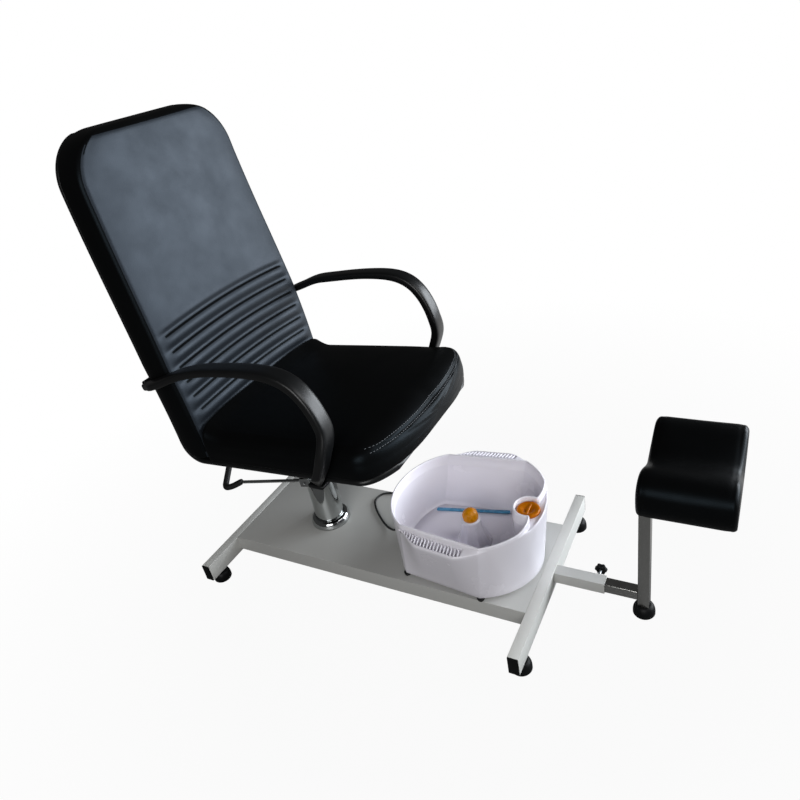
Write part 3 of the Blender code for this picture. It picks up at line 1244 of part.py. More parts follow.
def build_plug(group, cord_end):
    """Two-pin plug lying level with the coil's upper layer."""
    height = 2 * (cord_end.z - GAP)
    body = box("mains_plug", (PLUG_W, PLUG_LEN, height), BLACK_PLASTIC)
    middle = cord_end + Vector((0.0, GAP + PLUG_LEN / 2, 0.0))
    place(body, group, middle)
    for sign in (-1.0, 1.0):
        pin = cylinder("plug_pin", PLUG_PIN_R, PIN_LEN + 0.004, STEEL, segments=12)
        reach = PLUG_LEN / 2 + PIN_LEN / 2 - 0.002
        place(pin, group, middle + Vector((sign * PLUG_PIN_PITCH / 2, reach, 0.0)), TURN_TO_Y)
        cut(body, pin, "UNION")


def build_all():
    """Build the whole object."""
    root = make_group("pedicure_chair_root", (0.0, 0.0, 0.0))
    build_base(root)
    build_slide(root)
    build_footrest(root)
    lift = build_column(root)
    build_lever(root)
    build_chair(lift)
    build_tub(root)
    bpy.context.view_layer.update()


build_all()
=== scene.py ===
import json
import math

import bmesh
import bpy
import numpy as np
from bpy.props import FloatProperty, FloatVectorProperty, IntProperty, PointerProperty
from mathutils import Matrix, Vector
from mathutils.bvhtree import BVHTree


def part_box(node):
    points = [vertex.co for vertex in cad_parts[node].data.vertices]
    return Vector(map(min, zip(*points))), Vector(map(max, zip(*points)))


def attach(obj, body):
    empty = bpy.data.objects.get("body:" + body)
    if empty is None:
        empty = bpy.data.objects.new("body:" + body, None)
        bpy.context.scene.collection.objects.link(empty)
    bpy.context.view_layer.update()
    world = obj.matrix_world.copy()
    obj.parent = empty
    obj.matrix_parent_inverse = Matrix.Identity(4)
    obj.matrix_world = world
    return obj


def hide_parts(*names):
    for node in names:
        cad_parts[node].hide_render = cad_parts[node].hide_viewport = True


bl_info = {
    "name": "Pedicure chair dressing",
    "version": (1, 0, 0),
    "blender": (4, 5, 0),
    "location": "3D View > Sidebar > Chair",
    "description": "Upholstery, mouldings, finishes, cord and stage for the frame of a pedicure chair",
    "category": "Object",
}

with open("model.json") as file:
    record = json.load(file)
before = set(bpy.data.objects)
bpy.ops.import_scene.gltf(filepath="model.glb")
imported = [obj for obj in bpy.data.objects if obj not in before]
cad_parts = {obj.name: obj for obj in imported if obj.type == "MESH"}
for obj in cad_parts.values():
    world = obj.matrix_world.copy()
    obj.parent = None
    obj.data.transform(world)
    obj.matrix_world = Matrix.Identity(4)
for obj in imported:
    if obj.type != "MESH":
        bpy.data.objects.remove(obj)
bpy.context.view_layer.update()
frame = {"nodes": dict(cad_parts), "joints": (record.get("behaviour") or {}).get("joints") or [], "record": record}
NODES = frame["nodes"]
BODIES = frame["record"]["behaviour"]["bodies"]
BODY_OF = {node: body for body, members in BODIES.items() for node in members}


def middle(node):
    """Centre of a node's box."""
    low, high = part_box(node)
    return (np.array(low) + np.array(high)) / 2


# Places and directions in the frame, metres, and turns that lay an upright piece to the rear and to a side
COLUMN_Y = float(middle("pump_cylinder")[1])
DECK_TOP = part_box("deck_panel")[1].z
GAP = 0.0003
COLUMN_AXIS = (0.0, COLUMN_Y)
SIDEWAYS = (1.0, 0.0, 0.0)
LENGTHWAYS = (0.0, 1.0, 0.0)
TO_REAR = ((1.0, 0.0, 0.0), (0.0, 0.0, 1.0), (0.0, -1.0, 0.0))
TO_SIDE = ((0.0, 0.0, 1.0), (1.0, 0.0, 0.0), (0.0, 1.0, 0.0))

# Camera that took the view: rows point right, down and forward
VIEW_RIGHT = (0.455762, -0.873042, -0.173432)
VIEW_DOWN = (-0.514634, -0.099482, -0.851619)
VIEW_AHEAD = (0.726246, 0.477390, -0.494637)
VIEW_FROM = (-1.128686, -0.670959, 1.288488)
LENS_MM = 29.683

# Stage: how white the surroundings look in a mirror away from and on a patch of floor that glows white to mirrors
# only, a painted reflection of the floor where the window lights it, that patch's middle and reach, how white the
# floor is under the chair and where it reaches full white, the room's own light, and the lamps (place, aim, width,
# height, watts, window's colour or white)
MIRRORED_WHITE = 0.05
MIRRORED_PATCH = 1.0
PATCH_MIDDLE = (1.60, -0.80, 0.0)
PATCH_NEAR = 0.70
PATCH_FAR = 1.70
FLOOR_WHITE = 0.95
FLOOR_NEAR = 0.6
FLOOR_FAR = 1.8
FLOOR_HALF = 14.0
FLOOR_DROP = 0.0005
ROOM_LIGHT = 0.03
LAMPS = (("window", (3.0, -3.7, 1.35), (0.0, 0.0, 0.45), 4.8, 2.4, 400.0, True),
         ("front", (0.4, -3.2, 3.0), (0.0, -0.1, 0.3), 2.2, 1.8, 42.0, False),
         ("fill", (-2.9, -0.7, 1.6), (0.0, 0.1, 0.25), 1.8, 1.8, 54.0, False))

# Shell: underside at the column, tilt, thickness, how far it stays inside the covers, and its round bend
SHELL_Z = 0.4420
SEAT_TILT = 0.051
SHELL_T = 0.014
SHELL_IN = 0.004
SHELL_BACK = 0.018
SHELL_TIP = 0.0005
BACK_FOOT_Y = 0.176
BEND_R = 0.055
BEND_Y = BACK_FOOT_Y - BEND_R
SHELL_REAR_Z = SHELL_Z - SEAT_TILT * BEND_Y

# Seat: reach in front of the column, half width, round front, padding with its crown, rolled front edge,
# raised rear, and the roundings of its edges
SEAT_FRONT = 0.420
SEAT_HALF = 0.258
SEAT_ROUND = 0.090
SEAT_POWER = 2.2
SEAT_PAD = 0.068
SEAT_CROWN = 0.014
SEAT_ROLL = 0.038
SEAT_HEEL = 0.060
SEAT_HEEL_RISE = 0.022
SEAT_LOW_ROUND = 0.010
SEAT_TOP_ROUND = 0.026
SEAT_NOSE = 0.014

# Seat's front seam: drop below the crown, where it fades out, and its two rows of stitches
SEAT_SEAM_DROP = 0.022
SEAM_REACH = 0.060
SEAM_FADE = 0.030
STITCH_HALF = 0.225
STITCH_LIFT = 0.0042
THREAD = 0.0013
RAY_START = 0.05

# Back: lean, thickness, height, half widths, taper and top corners, roundings of its edges, and how squarely a
# face must look to the front to take the leatherette with painted sheen; the rest, the border, takes the plain
# black as painted shade
BACK_LEAN = 0.092
LEAN_START = 0.008
LEAN_SPAN = 0.820
BACK_THICK = 0.084
BACK_H = 0.768
BACK_HALF = 0.258
BACK_TOP_HALF = 0.232
TAPER_START = 0.268
TOP_ROUND = 0.105
BACK_CROWN = 0.005
BACK_EDGE = 0.012
BACK_BROW = 0.018
BACK_LOW_ROUND = 0.006
BACK_REAR_ROUND = 0.012
SHEEN_FACING = 0.80

# Sewn channels of the back: the topmost one's height over the shell, spacing, width, rows of points, how they
# end at the sides, and the heights over which they arch
CHANNELS = 7
CHANNEL_TOP = 0.3328
CHANNEL_STEP = 0.038
CHANNEL_WIDTH = 0.0075
ROWS_PER_CHANNEL = 8
ROWS_BELOW = 66
CHANNEL_END = 0.008
CHANNEL_FADE = 0.045
ARCH_FROM = 0.03
ARCH_IN = 0.06
ARCH_OVER = 0.20
ARCH_OUT = 0.14

# Sections of seat and back: points along the flat, the corners, the sides and the top, the largest roundings
# as shares of the height and the half width, bulge of the sides, and power of the crown
FLAT_POINTS = 18
CORNER_POINTS = 8
SIDE_POINTS = 10
TOP_POINTS = 88
ROUND_OF_HEIGHT = 0.45
ROUND_OF_HALF = 0.9
SIDE_BULGE = 0.002
CROWN_POWER = 2.5

# Filling of the covers by cloth: pressure, solver steps, frames, rounds of evening out, how high above the
# carrier a cover is held, and the most that a point of each cover may move
CLOTH_PRESSURE = 4.0
CLOTH_QUALITY = 4
CLOTH_FRAMES = 20
EVEN_ROUNDS = 40
HELD_DEPTH = 0.006
PAD_HELD = 0.004
SEAT_SWELL = 0.005
BACK_SWELL = 0.0035
PAD_SWELL = 0.003

# Calf pad: foot, height, half widths, gutter with its lips, roundings, and its end seams
PAD_BASE_Z = 0.386
PAD_H = 0.095
PAD_HALF = 0.134
PAD_FOOT_HALF = 0.108
PAD_TURN = 0.002
PAD_GROOVE = 0.027
PAD_LIP = 0.72
PAD_END_ROUND = 0.011
PAD_SHOULDER = 0.030
PAD_BELLY = 0.003
PAD_TUCK = 0.016
PAD_SEAM_IN = 0.012

# Clamp knob
KNOB_WAVE = 0.105
KNOB_LOBES = 6
KNOB_DOME = 0.0045
KNOB_DISH = 0.0012

# Arms: section, line in the side view, tab's length, lean over the seat, shares of the length from the rear
# end where the front bend thickens and thins again, thin rear, narrow ends, and the tabs' heights and depths
ARM_X = 0.281
ARM_W = 0.043
ARM_T = 0.0195
ARM_TOP = 0.7278
ARM_PEAK_Y = -0.120
ARM_FRONT_Y = -0.298
ARM_REAR_Y = 0.1970
ARM_REAR_Z = 0.6586
ARM_FOOT_Y = -0.225
ARM_FOOT_Z = 0.4482
ARM_TIP_Y = -0.238
ARM_TIP_Z = 0.4570
ARM_TAB = 0.075
ARM_BOW = 0.016
ARM_LEAN_Y = 0.112
ARM_LEAN_Z = 0.545
ARM_LEAN_RUN = 0.14
ARM_LEAN_RISE = 0.07
ARM_BEND_T = 0.024
ARM_SWELL_AT = 0.40
ARM_SWELL_RUN = 0.24
ARM_EBB_AT = 0.97
ARM_EBB_RUN = 0.16
ARM_TAIL_THIN = 0.12
ARM_TAIL_RUN = 0.24
ARM_TOE = 0.68
ARM_HEEL = 0.55
ARM_HEEL_RUN = 0.065
ARM_TOE_RUN = 0.045
ARM_END = 0.008
TAB_END = 0.003
REAR_TAB = (0.025, 0.010)
FRONT_TAB = (0.010, 0.040)

# Pump lever: rod, grip with its dip and its bend to the pedal, and the eye on the pin
LEVER_ROD = 0.188
GRIP_LEAD = 0.006
GRIP_RUN = 0.0622
GRIP_DIP = 0.0178
PEDAL_SIDE = 0.0634
PEDAL_RISE = 0.0401
ROD_WIDTH = 0.009
ROD_ROOT = 0.0036
ROD_END = 0.001
EYE_IN = 0.0033
EYE_OUT = 0.0075
EYE_HALF = 0.0054
EYE_EDGE = 0.0005
GRIP_WIDTH = 0.017
GRIP_END = 0.004

# Roundings of edges
DECK_EDGE = 0.0009
PLATE_EDGE = 0.0006
BOARD_EDGE = 0.0008
MOUNT_EDGE = 0.0015
BRACKET_EDGE = 0.0012
FOOT_EDGE = 0.0006
TUB_FOOT_EDGE = 0.0012
PISTON_EDGE = 0.0008
TIE_EDGE = 0.0004

# Levelling feet with their studs, and the lift: mouth of the cylinder, piston, rod, spigot and foot ring
FOOT_BODY = 0.0297
FOOT_NECK = 0.013
FOOT_RIM = 0.009
STUD_R = 0.004
STUD_SUNK = 0.002
MOUTH_R = 0.0263
MOUTH_DEPTH = 0.016
MOUTH_CHAMFER = 0.004
PISTON_R = 0.0297
PISTON_LEN = 0.016
PISTON_ROD_R = 0.026
SPIGOT_R = 0.0221
SPIGOT_LEN = 0.018
COLLAR_LIP = 0.003
COLLAR_FOOT = 0.004

# Foot bath. A ledge's steps: way from the shoulder to the rim, share of the ribs' depth, way from the lip
# over the lip's foot (1) to the rim (2). The inner wall's steps: way down and share of the wall's step.
TUB_X = -0.013
TUB_REAR_Y = COLUMN_Y - 0.270
TUB_FRONT_Y = TUB_REAR_Y - 0.380
TUB_REAR_HALF = 0.146
TUB_FRONT_HALF = 0.167
TUB_REAR_BOW = 0.078
TUB_FRONT_BOW = 0.095
TUB_CORNER = math.radians(25.0)
TUB_DRAFT = 0.024
TUB_FRONT_DRAFT = 0.016
TUB_REAR_DRAFT = 0.004
TUB_BASE_SHIFT = 0.028
TUB_LEDGE = 0.0395
TUB_LEDGE_DROP = 0.010
LEDGE_REAR = 0.85
LEDGE_FRONT = 0.80
LEDGE_RAMP = 0.32
TUB_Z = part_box("tub")[0].z
TUB_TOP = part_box("tub")[1].z
TUB_SHOULDER = TUB_TOP - TUB_LEDGE_DROP
TUB_FLOOR_Z = TUB_Z + 0.037
TUB_WALL = 0.006
DIAL_Y = TUB_FRONT_Y + 0.037
DIAL_H = 0.008
SHELF_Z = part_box("control_dial")[1].z - DIAL_H - 0.0005
NOSE_R = 0.0312
NOSE_REACH = 0.104
RIB_FIRST = 0.077
RIB_LAST = 0.241
RIB_SLANT = 0.004
RIB_FROM = 0.19
RIB_SPAN = 0.65
LIP_Z = TUB_TOP - 0.0135
LIP_HALF = 0.084
LIP_FADE = 0.024
LIP_DEPTH = 0.06
LIP_IN = 0.0045
LIP_FOOT_IN = 0.0055
WALL_STEP = 0.0016
TUB_COVE = 0.010
TUB_INSET = 1.4 * TUB_WALL
RIM_DROP = 0.0040
FLOOR_T = 0.003
FLOOR_TUCK = 0.006
BASE_EDGE = 0.0022
BASE_RECESS = 0.0033
LEDGE_STEPS = ((0.15, 0.0, 0.0), (0.155, 0.0, 0.0), (0.165, 1.0, 0.5), (0.17, 1.0, 1.0), (0.40, 1.0, 1.2),
               (0.80, 1.0, 1.5), (0.805, 1.0, 1.6), (0.815, 0.0, 1.7), (0.82, 0.0, 1.8), (1.0, 0.0, 2.0))
WALL_STEPS = ((0.04, 0.0), (0.16, 0.0), (0.175, 1.0), (0.19, 1.0), (0.4, 0.8), (0.6, 0.5), (0.8, 0.2),
              (1.0, 0.0))
NOSE_SHARE = 0.48
NOSE_TURN = math.radians(105.0)
NOSE_LEAVE = 0.040
NOSE_MEET = 0.070
NOSE_WALL = 0.002
REAR_STEPS = 96
SIDE_STEPS = 64
FRONT_STEPS = 176

# Bath fittings: dial with its bar, cone with its peg, cap, and strip with its air holes
DIAL_DISH = 0.007
DIAL_NOTCHES = 36
NOTCH_DEPTH = 0.012
DIAL_SPINDLE = 0.003
BAR_HALF = 0.020
BAR_W = 0.007
BAR_H = 0.0056
BAR_SUNK = 0.0030
BAR_END = 0.003
CONE_TOP = 0.024
CONE_POWER = 1.7
CONE_FLUTES = 4
FLUTE_DEPTH = 0.09
PEG_R = 0.007
PEG_LEN = 0.012
CAP_NUBS = 10
NUB_DEPTH = 0.10
STRIP_LEN = 0.200
STRIP_W = 0.011
STRIP_H = 0.004
STRIP_END = 0.003
STRIP_TURN = math.radians(12.0)
HOLE_STEP = 0.010
HOLE_LEN = 0.0012
HOLE_WIDTH = 0.0014
HOLE_DEPTH = 0.0014

# Cord: its coil on the floor, its plug with two pins, and the ridged gland on the bath
CORD_R = 0.003
COIL_X = 0.236
COIL_Y = COLUMN_Y - 0.420
COIL_R_OUT = 0.041
COIL_PITCH = 0.0066
COIL_TURNS = 2
COIL_LOW = 0.0046
COIL_TAIL = 0.016
PLUG_TAIL = 0.037
LOOP_POINTS = 24
PLUG_LEN = 0.040
PLUG_ROUND = 0.004
PIN_HALF_PITCH = 0.0095
PIN_WIDTH = 0.0046
PIN_END = 0.002
GLAND_SUNK = 0.0035
GLAND_R = 0.0070
GLAND_TAPER = 0.0030
GLAND_RIDGE = 0.0004
GLAND_RIDGES = 6


def linear(code):
    """An sRGB hex colour as linear RGB: c / 12.92 up to 0.04045, above it ((c + 0.055) / 1.055) ** 2.4."""
    part = np.array([int(code[k:k + 2], 16) for k in (1, 3, 5)]) / 255.0
    return tuple(np.where(part <= 0.04045, part / 12.92, ((part + 0.055) / 1.055) ** 2.4).tolist())


def colour(name, words, code):
    """A colour that the panel shows."""
    return FloatVectorProperty(name=name, description=words, subtype="COLOR", size=3, min=0.0, max=1.0,
                               default=linear(code))


def size(name, words, metres):
    """A length that the panel shows."""
    return FloatProperty(name=name, description=words, default=metres, unit="LENGTH")


class ChairFinishes(bpy.types.PropertyGroup):
    """Colours of the finishes."""
    # The back panel's leatherette colour is painted sheen: one black leatherette, drawn lighter and bluer there
    leatherette: colour("Leatherette", "Front panel of the back", "#191d22")
    black: colour("Black leatherette", "Seat, calf pad and the border of the back", "#090909")
    moulding: colour("Black moulding", "Arms, shell, end caps and knob", "#0e0f10")
    rubber: colour("Rubber", "Grip, cord and the bath's feet", "#0f0f10")
    thread: colour("Thread", "Stitching on the seat", "#6a6d72")
    paint: colour("Powder coat", "Cross tubes of the base", "#d6d6d2")
    # Painted shade: the same powder coat as the tubes, drawn darker for the deck and the sleeve
    deck: colour("Deck powder coat", "Deck and the calf rest's sleeve", "#bebebb")
    chrome: colour("Chrome", "Column, lever and foot ring", "#c2c5c5")
    steel: colour("Drawn steel", "Slide and post of the calf rest", "#c6c5c1")
    zinc: colour("Zinc plate", "Bolts, screws and plates", "#a4a8ab")
    bath: colour("Bath plastic", "Foot bath", "#efecf4")
    dial: colour("Dial", "Control dial", "#c97000")
    cap: colour("Massage cap", "Push-on cap in the bath", "#d88a02")
    strip: colour("Bubble strip", "Air strip on the bath's floor", "#519ac4")
    plywood: colour("Plywood", "Board under the calf pad", "#c29a6b")
    backdrop: colour("Backdrop", "Floor", "#5c5c5c")
    window: colour("Window light", "Colour of the main light", "#f3f9ff")


class ChairSizes(bpy.types.PropertyGroup):
    """Sizes of the details that the dressing adds."""
    seam_depth: size("Seam depth", "Depth of a sewn seam", 0.0022)
    seam_width: size("Seam width", "Half width of a sewn seam", 0.0034)
    channel_pinch: size("Channel pinch", "Depth of the back's sewn channels", 0.0050)
    channel_arch: size("Channel arch", "Rise of the channels' middle over their ends", 0.016)
    channel_puff: size("Channel puff", "Swell of the padding between the channels", 0.0035)
    stitch: size("Stitch", "Length of a stitch", 0.0052)
    stitch_pitch: size("Stitch pitch", "From one stitch to the next", 0.0068)
    edge: size("Edge radius", "Rounding of metal edges", 0.0016)
    ribs: IntProperty(name="Ribs", description="Ribs on each ledge of the bath", default=20, min=2)
    rib_width: size("Rib width", "Width of a ledge's rib", 0.0036)
    rib_depth: size("Rib depth", "Depth of the gaps between the ribs", 0.013)
    rim: size("Rim", "Thickness of the bath's rim", 0.0055)


def finishes():
    """The colours in use."""
    return bpy.context.scene.chair_finishes


def sizes():
    """The detail sizes in use."""
    return bpy.context.scene.chair_sizes


def add_node(tree, kind, settings=None, values=None, links=None):
    """Add a shader node with its settings, its unlinked values and its links."""
    node = tree.nodes.new(kind)
    for key, value in (settings or {}).items():
        setattr(node, key, value)
    for key, value in (values or {}).items():
        node.inputs[key].default_value = value
    for key, source in (links or {}).items():
        tree.links.new(source, node.inputs[key])
    return node


# Patches and grain of the finishes: detail and roughness of the patches' noise, the part of its range that
# varies the gloss, how far the pebbles run together, detail of the grain's noise, strength of the bump
CLOUD_DETAIL = 4.0
CLOUD_ROUGH = 0.55
CLOUD_LOW = 0.3
CLOUD_HIGH = 0.7
PEBBLE_SMOOTH = 0.6
GRAIN_DETAIL = 3.0
BUMP_STRENGTH = 0.6
PER_METRE = 1000.0

# Each finish: the colour's name, how far its patches darken, roughness low and high, the size of the patches,
# the pattern of its grain with the grain's size and height, all in millimetres, and constant shader values.
FINISHES = {
    # PVC leatherette, embossed with a pebble grain: a broad satin sheen that breaks up over the grain. Its
    # lighter, bluer colour and its blue-tinted reflections are painted sheen, given to the back's front panel
    # only. The real pebbles are about 1 mm and are drawn at 2.4 mm so that they show.
    "pvc_leatherette": ("leatherette", 0.80, 0.49, 0.58, 70.0, "VORONOI", 2.4, 0.12,
                        {"Specular IOR Level": 0.42, "Specular Tint": (0.70, 0.83, 1.0, 1.0)}),
    # The same leatherette in its plain black, with its gloss turned down: the shaded copy, on the seat, the calf
    # pad and the back's border. Its blue-tinted reflections are painted light.
    "black_leatherette": ("black", 0.80, 0.36, 0.46, 70.0, "VORONOI", 2.4, 0.12,
                          {"Specular IOR Level": 0.08, "Specular Tint": (0.60, 0.82, 1.0, 1.0)}),
    # Polypropylene from a spark-eroded mould: satin black with a fine matt texture, drawn at 1.6 mm.
    "moulded_polypropylene": ("moulding", 0.85, 0.30, 0.38, 55.0, "NOISE", 1.6, 0.03,
                              {"Specular IOR Level": 0.38}),
    # The same polypropylene where it is small and worn dull: feet, caps and knob.
    "dull_polypropylene": ("moulding", 0.70, 0.42, 0.52, 20.0, "NOISE", 1.6, 0.04,
                           {"Specular IOR Level": 0.15}),
    # Bonded polyester thread, waxed.
    "polyester_thread": ("thread", 0.70, 0.45, 0.60, 6.0, "NOISE", 0.8, 0.05, {}),
    # Moulded nitrile rubber: matt, a little chalky.
    "moulded_rubber": ("rubber", 0.78, 0.52, 0.66, 18.0, "NOISE", 1.4, 0.06, {}),
    # Polyester powder coat on steel: a satin grey film with faint orange peel, drawn at 3 mm.
    "powder_coat": ("paint", 0.95, 0.34, 0.44, 120.0, "NOISE", 3.0, 0.035, {}),
    # The same coat drawn darker on the deck and the calf rest's sleeve: painted shade.
    "deck_powder_coat": ("deck", 0.95, 0.34, 0.44, 120.0, "NOISE", 3.0, 0.035, {}),
    # Bright chromium on steel tube: a mirror with faint haze where hands have been.
    "chrome_plate": ("chrome", 0.96, 0.05, 0.13, 40.0, "NOISE", 9.0, 0.004, {"Metallic": 1.0}),
    # Drawn steel tube under a thin dark plate: a grey mirror, hazed along its length.
    "drawn_steel": ("steel", 0.90, 0.12, 0.22, 30.0, "NOISE", 6.0, 0.006, {"Metallic": 1.0}),
    # Zinc plate on steel: a soft grey metal, dull in patches.
    "zinc_plate": ("zinc", 0.85, 0.24, 0.38, 8.0, "NOISE", 1.5, 0.02, {"Metallic": 1.0}),
    # ABS from a polished mould: a white body with a clean gloss and a hint of flow in it.
    "glossy_abs": ("bath", 0.965, 0.20, 0.29, 90.0, "NOISE", 14.0, 0.02, {}),
    # Acetal dial, gloss moulded and slightly deep in colour.
    "orange_acetal": ("dial", 0.72, 0.20, 0.30, 12.0, "NOISE", 3.0, 0.03, {"Specular IOR Level": 0.25}),
    # Soft vinyl cap, gloss moulded.
    "yellow_vinyl": ("cap", 0.80, 0.24, 0.34, 10.0, "NOISE", 2.5, 0.03, {"Specular IOR Level": 0.25}),
    # Polystyrene strip, gloss moulded.
    "blue_polystyrene": ("strip", 0.82, 0.22, 0.32, 16.0, "NOISE", 3.0, 0.02, {}),
    # Birch plywood, sanded and left raw: pale veneer with drawn-out grain.
    "birch_plywood": ("plywood", 0.72, 0.55, 0.68, 22.0, "NOISE", 4.0, 0.08, {}),
}


def finish(name):
    """The material of a finish: patches of noise tint it and vary its gloss, and a grain bumps it."""
    known = bpy.data.materials.get(name)
    if known:
        return known
    tint, dark, smooth_low, smooth_high, patch, grain, grain_size, grain_height, values = FINISHES[name]
    base = tuple(getattr(finishes(), tint))
    material = bpy.data.materials.new(name)
    material.use_nodes = True
    tree = material.node_tree
    shader = tree.nodes["Principled BSDF"]
    for key, value in values.items():
        shader.inputs[key].default_value = value
    place = add_node(tree, "ShaderNodeTexCoord").outputs["Object"]
    spots = {"Scale": PER_METRE / patch, "Detail": CLOUD_DETAIL, "Roughness": CLOUD_ROUGH}
    cloud = add_node(tree, "ShaderNodeTexNoise", values=spots, links={"Vector": place}).outputs["Fac"]
    shade = tuple(part * dark for part in base)
    ends = {6: (*shade, 1.0), 7: (*base, 1.0)}
    body = add_node(tree, "ShaderNodeMix", {"data_type": "RGBA"}, ends, {0: cloud})
    tree.links.new(body.outputs[2], shader.inputs["Base Color"])
    steps = {"From Min": CLOUD_LOW, "From Max": CLOUD_HIGH, "To Min": smooth_low, "To Max": smooth_high}
    gloss = add_node(tree, "ShaderNodeMapRange", values=steps, links={"Value": cloud})
    tree.links.new(gloss.outputs["Result"], shader.inputs["Roughness"])
    fine = PER_METRE / grain_size
    if grain == "VORONOI":
        height = add_node(tree, "ShaderNodeTexVoronoi", {"feature": "SMOOTH_F1"},
                          {"Scale": fine, "Smoothness": PEBBLE_SMOOTH}, {"Vector": place}).outputs["Distance"]
    else:
        height = add_node(tree, "ShaderNodeTexNoise", values={"Scale": fine, "Detail": GRAIN_DETAIL},
                          links={"Vector": place}).outputs["Fac"]
    relief = {"Strength": BUMP_STRENGTH, "Distance": grain_height / PER_METRE}
    bump = add_node(tree, "ShaderNodeBump", values=relief, links={"Height": height})
    tree.links.new(bump.outputs["Normal"], shader.inputs["Normal"])
    return material


def smoothstep(value):
    """Smooth step from 0 to 1: t * t * (3 - 2 t)."""
    t = np.clip(value, 0.0, 1.0)
    return t * t * (3.0 - 2.0 * t)


def through(knots, count):
    """Evenly spaced points on the Catmull-Rom curve through the knots."""
    knots = np.array(knots, float)
    padded = np.vstack([2 * knots[0] - knots[1], knots, 2 * knots[-1] - knots[-2]])
    a, b, c, d = (padded[k:len(padded) - 3 + k, None, :] for k in range(4))
    t = np.linspace(0.0, 1.0, 24, endpoint=False)[None, :, None]
    fine = 0.5 * (2 * b + (c - a) * t + (2 * a - 5 * b + 4 * c - d) * t ** 2
                  + (3 * b - a - 3 * c + d) * t ** 3)
    fine = np.vstack([fine.reshape(-1, knots.shape[1]), knots[-1]])
    return evenly(fine, count)


def run_along(line):
    """Distance of each point from the start, along a line."""
    return np.concatenate([[0.0], np.cumsum(np.linalg.norm(np.diff(line, axis=0), axis=1))])


def headings(line):
    """Unit direction of a line at each of its points."""
    along = np.gradient(line, axis=0)
    return along / np.linalg.norm(along, axis=1, keepdims=True)


def bezier(t, start, via, end):
    """Quadratic Bezier curve: (1 - t)^2 a + 2 t (1 - t) b + t^2 c."""
    return (1 - t) ** 2 * start + 2 * t * (1 - t) * via + t ** 2 * end


def evenly(line, count):
    """A line again, with points evenly spaced along it."""
    along = run_along(line)
    goal = np.linspace(0.0, along[-1], count)
    return np.stack([np.interp(goal, along, line[:, k]) for k in range(line.shape[1])], axis=1)


def show(name, mesh, finish_name):
    """Link a mesh as a smooth-shaded piece at the origin."""
    mesh.polygons.foreach_set("use_smooth", np.ones(len(mesh.polygons), bool))
    mesh.materials.clear()
    mesh.materials.append(finish(finish_name))
    item = bpy.data.objects.new(name, mesh)
    bpy.context.scene.collection.objects.link(item)
    return item


def make_piece(name, sheets, finish_name):
    """One mesh from grids of points: neighbours make quads, and a grid may close along rows or columns."""
    points = []
    faces = []
    start = 0
    for grid, close_rows, close_cols in sheets:
        rows, cols = grid.shape[:2]
        row = np.arange(rows if close_rows else rows - 1)[:, None]
        col = np.arange(cols if close_cols else cols - 1)[None, :]
        row_on = (row + 1) % rows
        col_on = (col + 1) % cols
        corners = np.broadcast_arrays(row * cols + col, row_on * cols + col, row_on * cols + col_on,
                                      row * cols + col_on)
        faces.append(start + np.stack(corners, -1).reshape(-1, 4))
        points.append(grid.reshape(-1, 3))
        start += rows * cols
    mesh = bpy.data.meshes.new(name)
    mesh.from_pydata(np.concatenate(points).tolist(), [], np.concatenate(faces).tolist())
    work = bmesh.new()
    work.from_mesh(mesh)
    bmesh.ops.remove_doubles(work, verts=work.verts, dist=1e-6)
    bmesh.ops.recalc_face_normals(work, faces=work.faces)
    work.to_mesh(mesh)
    work.free()
    return show(name, mesh, finish_name)


def turned(profile, at, turn=None, segments=72, wave=None):
    """A profile of radius and height carried round its axis, turned and moved; wave scales the radius."""
    profile = np.array(profile, float)
    angle = np.linspace(0.0, 2 * math.pi, segments, endpoint=False)
    radius = np.broadcast_to(profile[:, 0], (segments, len(profile)))
    if wave is not None:
        radius = radius * wave(angle[:, None], profile[None, :, 1])
    grid = np.stack([radius * np.cos(angle)[:, None], radius * np.sin(angle)[:, None],
                     np.broadcast_to(profile[:, 1], radius.shape)], -1)
    if turn is not None:
        grid = grid @ np.array(turn).T
    return grid + np.array(at), True, False


def oval(width, height, power=2.0, count=40):
    """A superellipse: half sizes times the signed powers 2 / n of the cosine and the sine."""
    angle = np.linspace(0.0, 2 * math.pi, count, endpoint=False)
    bend = 2.0 / power
    return np.stack([width / 2 * np.sign(np.cos(angle)) * np.abs(np.cos(angle)) ** bend,
                     height / 2 * np.sign(np.sin(angle)) * np.abs(np.sin(angle)) ** bend], -1)


def carried(path, section, across, round_end, slim=None):
    """A section carried along a path, one axis across and one square to both, with rounded ends."""
    path = np.array(path, float)
    along = headings(path)
    side = np.broadcast_to(np.array(across, float), path.shape)
    side = side - along * np.sum(along * side, axis=1, keepdims=True)
    side = side / np.linalg.norm(side, axis=1, keepdims=True)
    up = np.cross(side, along)
    reach = run_along(path)
    left = np.clip(np.minimum(reach, reach[-1] - reach) / round_end, 0.0, 1.0)
    scale = np.sqrt(np.clip(1.0 - (1.0 - left) ** 2, 0.0, 1.0))[:, None, None]
    thick = np.ones(len(path)) if slim is None else slim
    grid = (section[None, :, 0, None] * side[:, None, :]
            + section[None, :, 1, None] * up[:, None, :] * thick[:, None, None])
    return path[:, None, :] + scale * grid, False, True


def ends_dense(path, round_end, count=7):
    """A path with extra points close to its ends, so that rounded ends are smooth."""
    path = np.array(path, float)
    reach = run_along(path)
    near = round_end * (1.0 - np.cos(np.linspace(0.0, math.pi / 2, count)))
    between = reach[(reach > round_end) & (reach < reach[-1] - round_end)]
    goal = np.unique(np.concatenate([near, reach[-1] - near, between]))
    return np.stack([np.interp(goal, reach, path[:, k]) for k in range(3)], axis=1)


def rounded_bar(path, section, across, round_end):
    """A section carried along a path that has extra points at its rounded ends."""
    return carried(ends_dense(path, round_end), section, across, round_end)


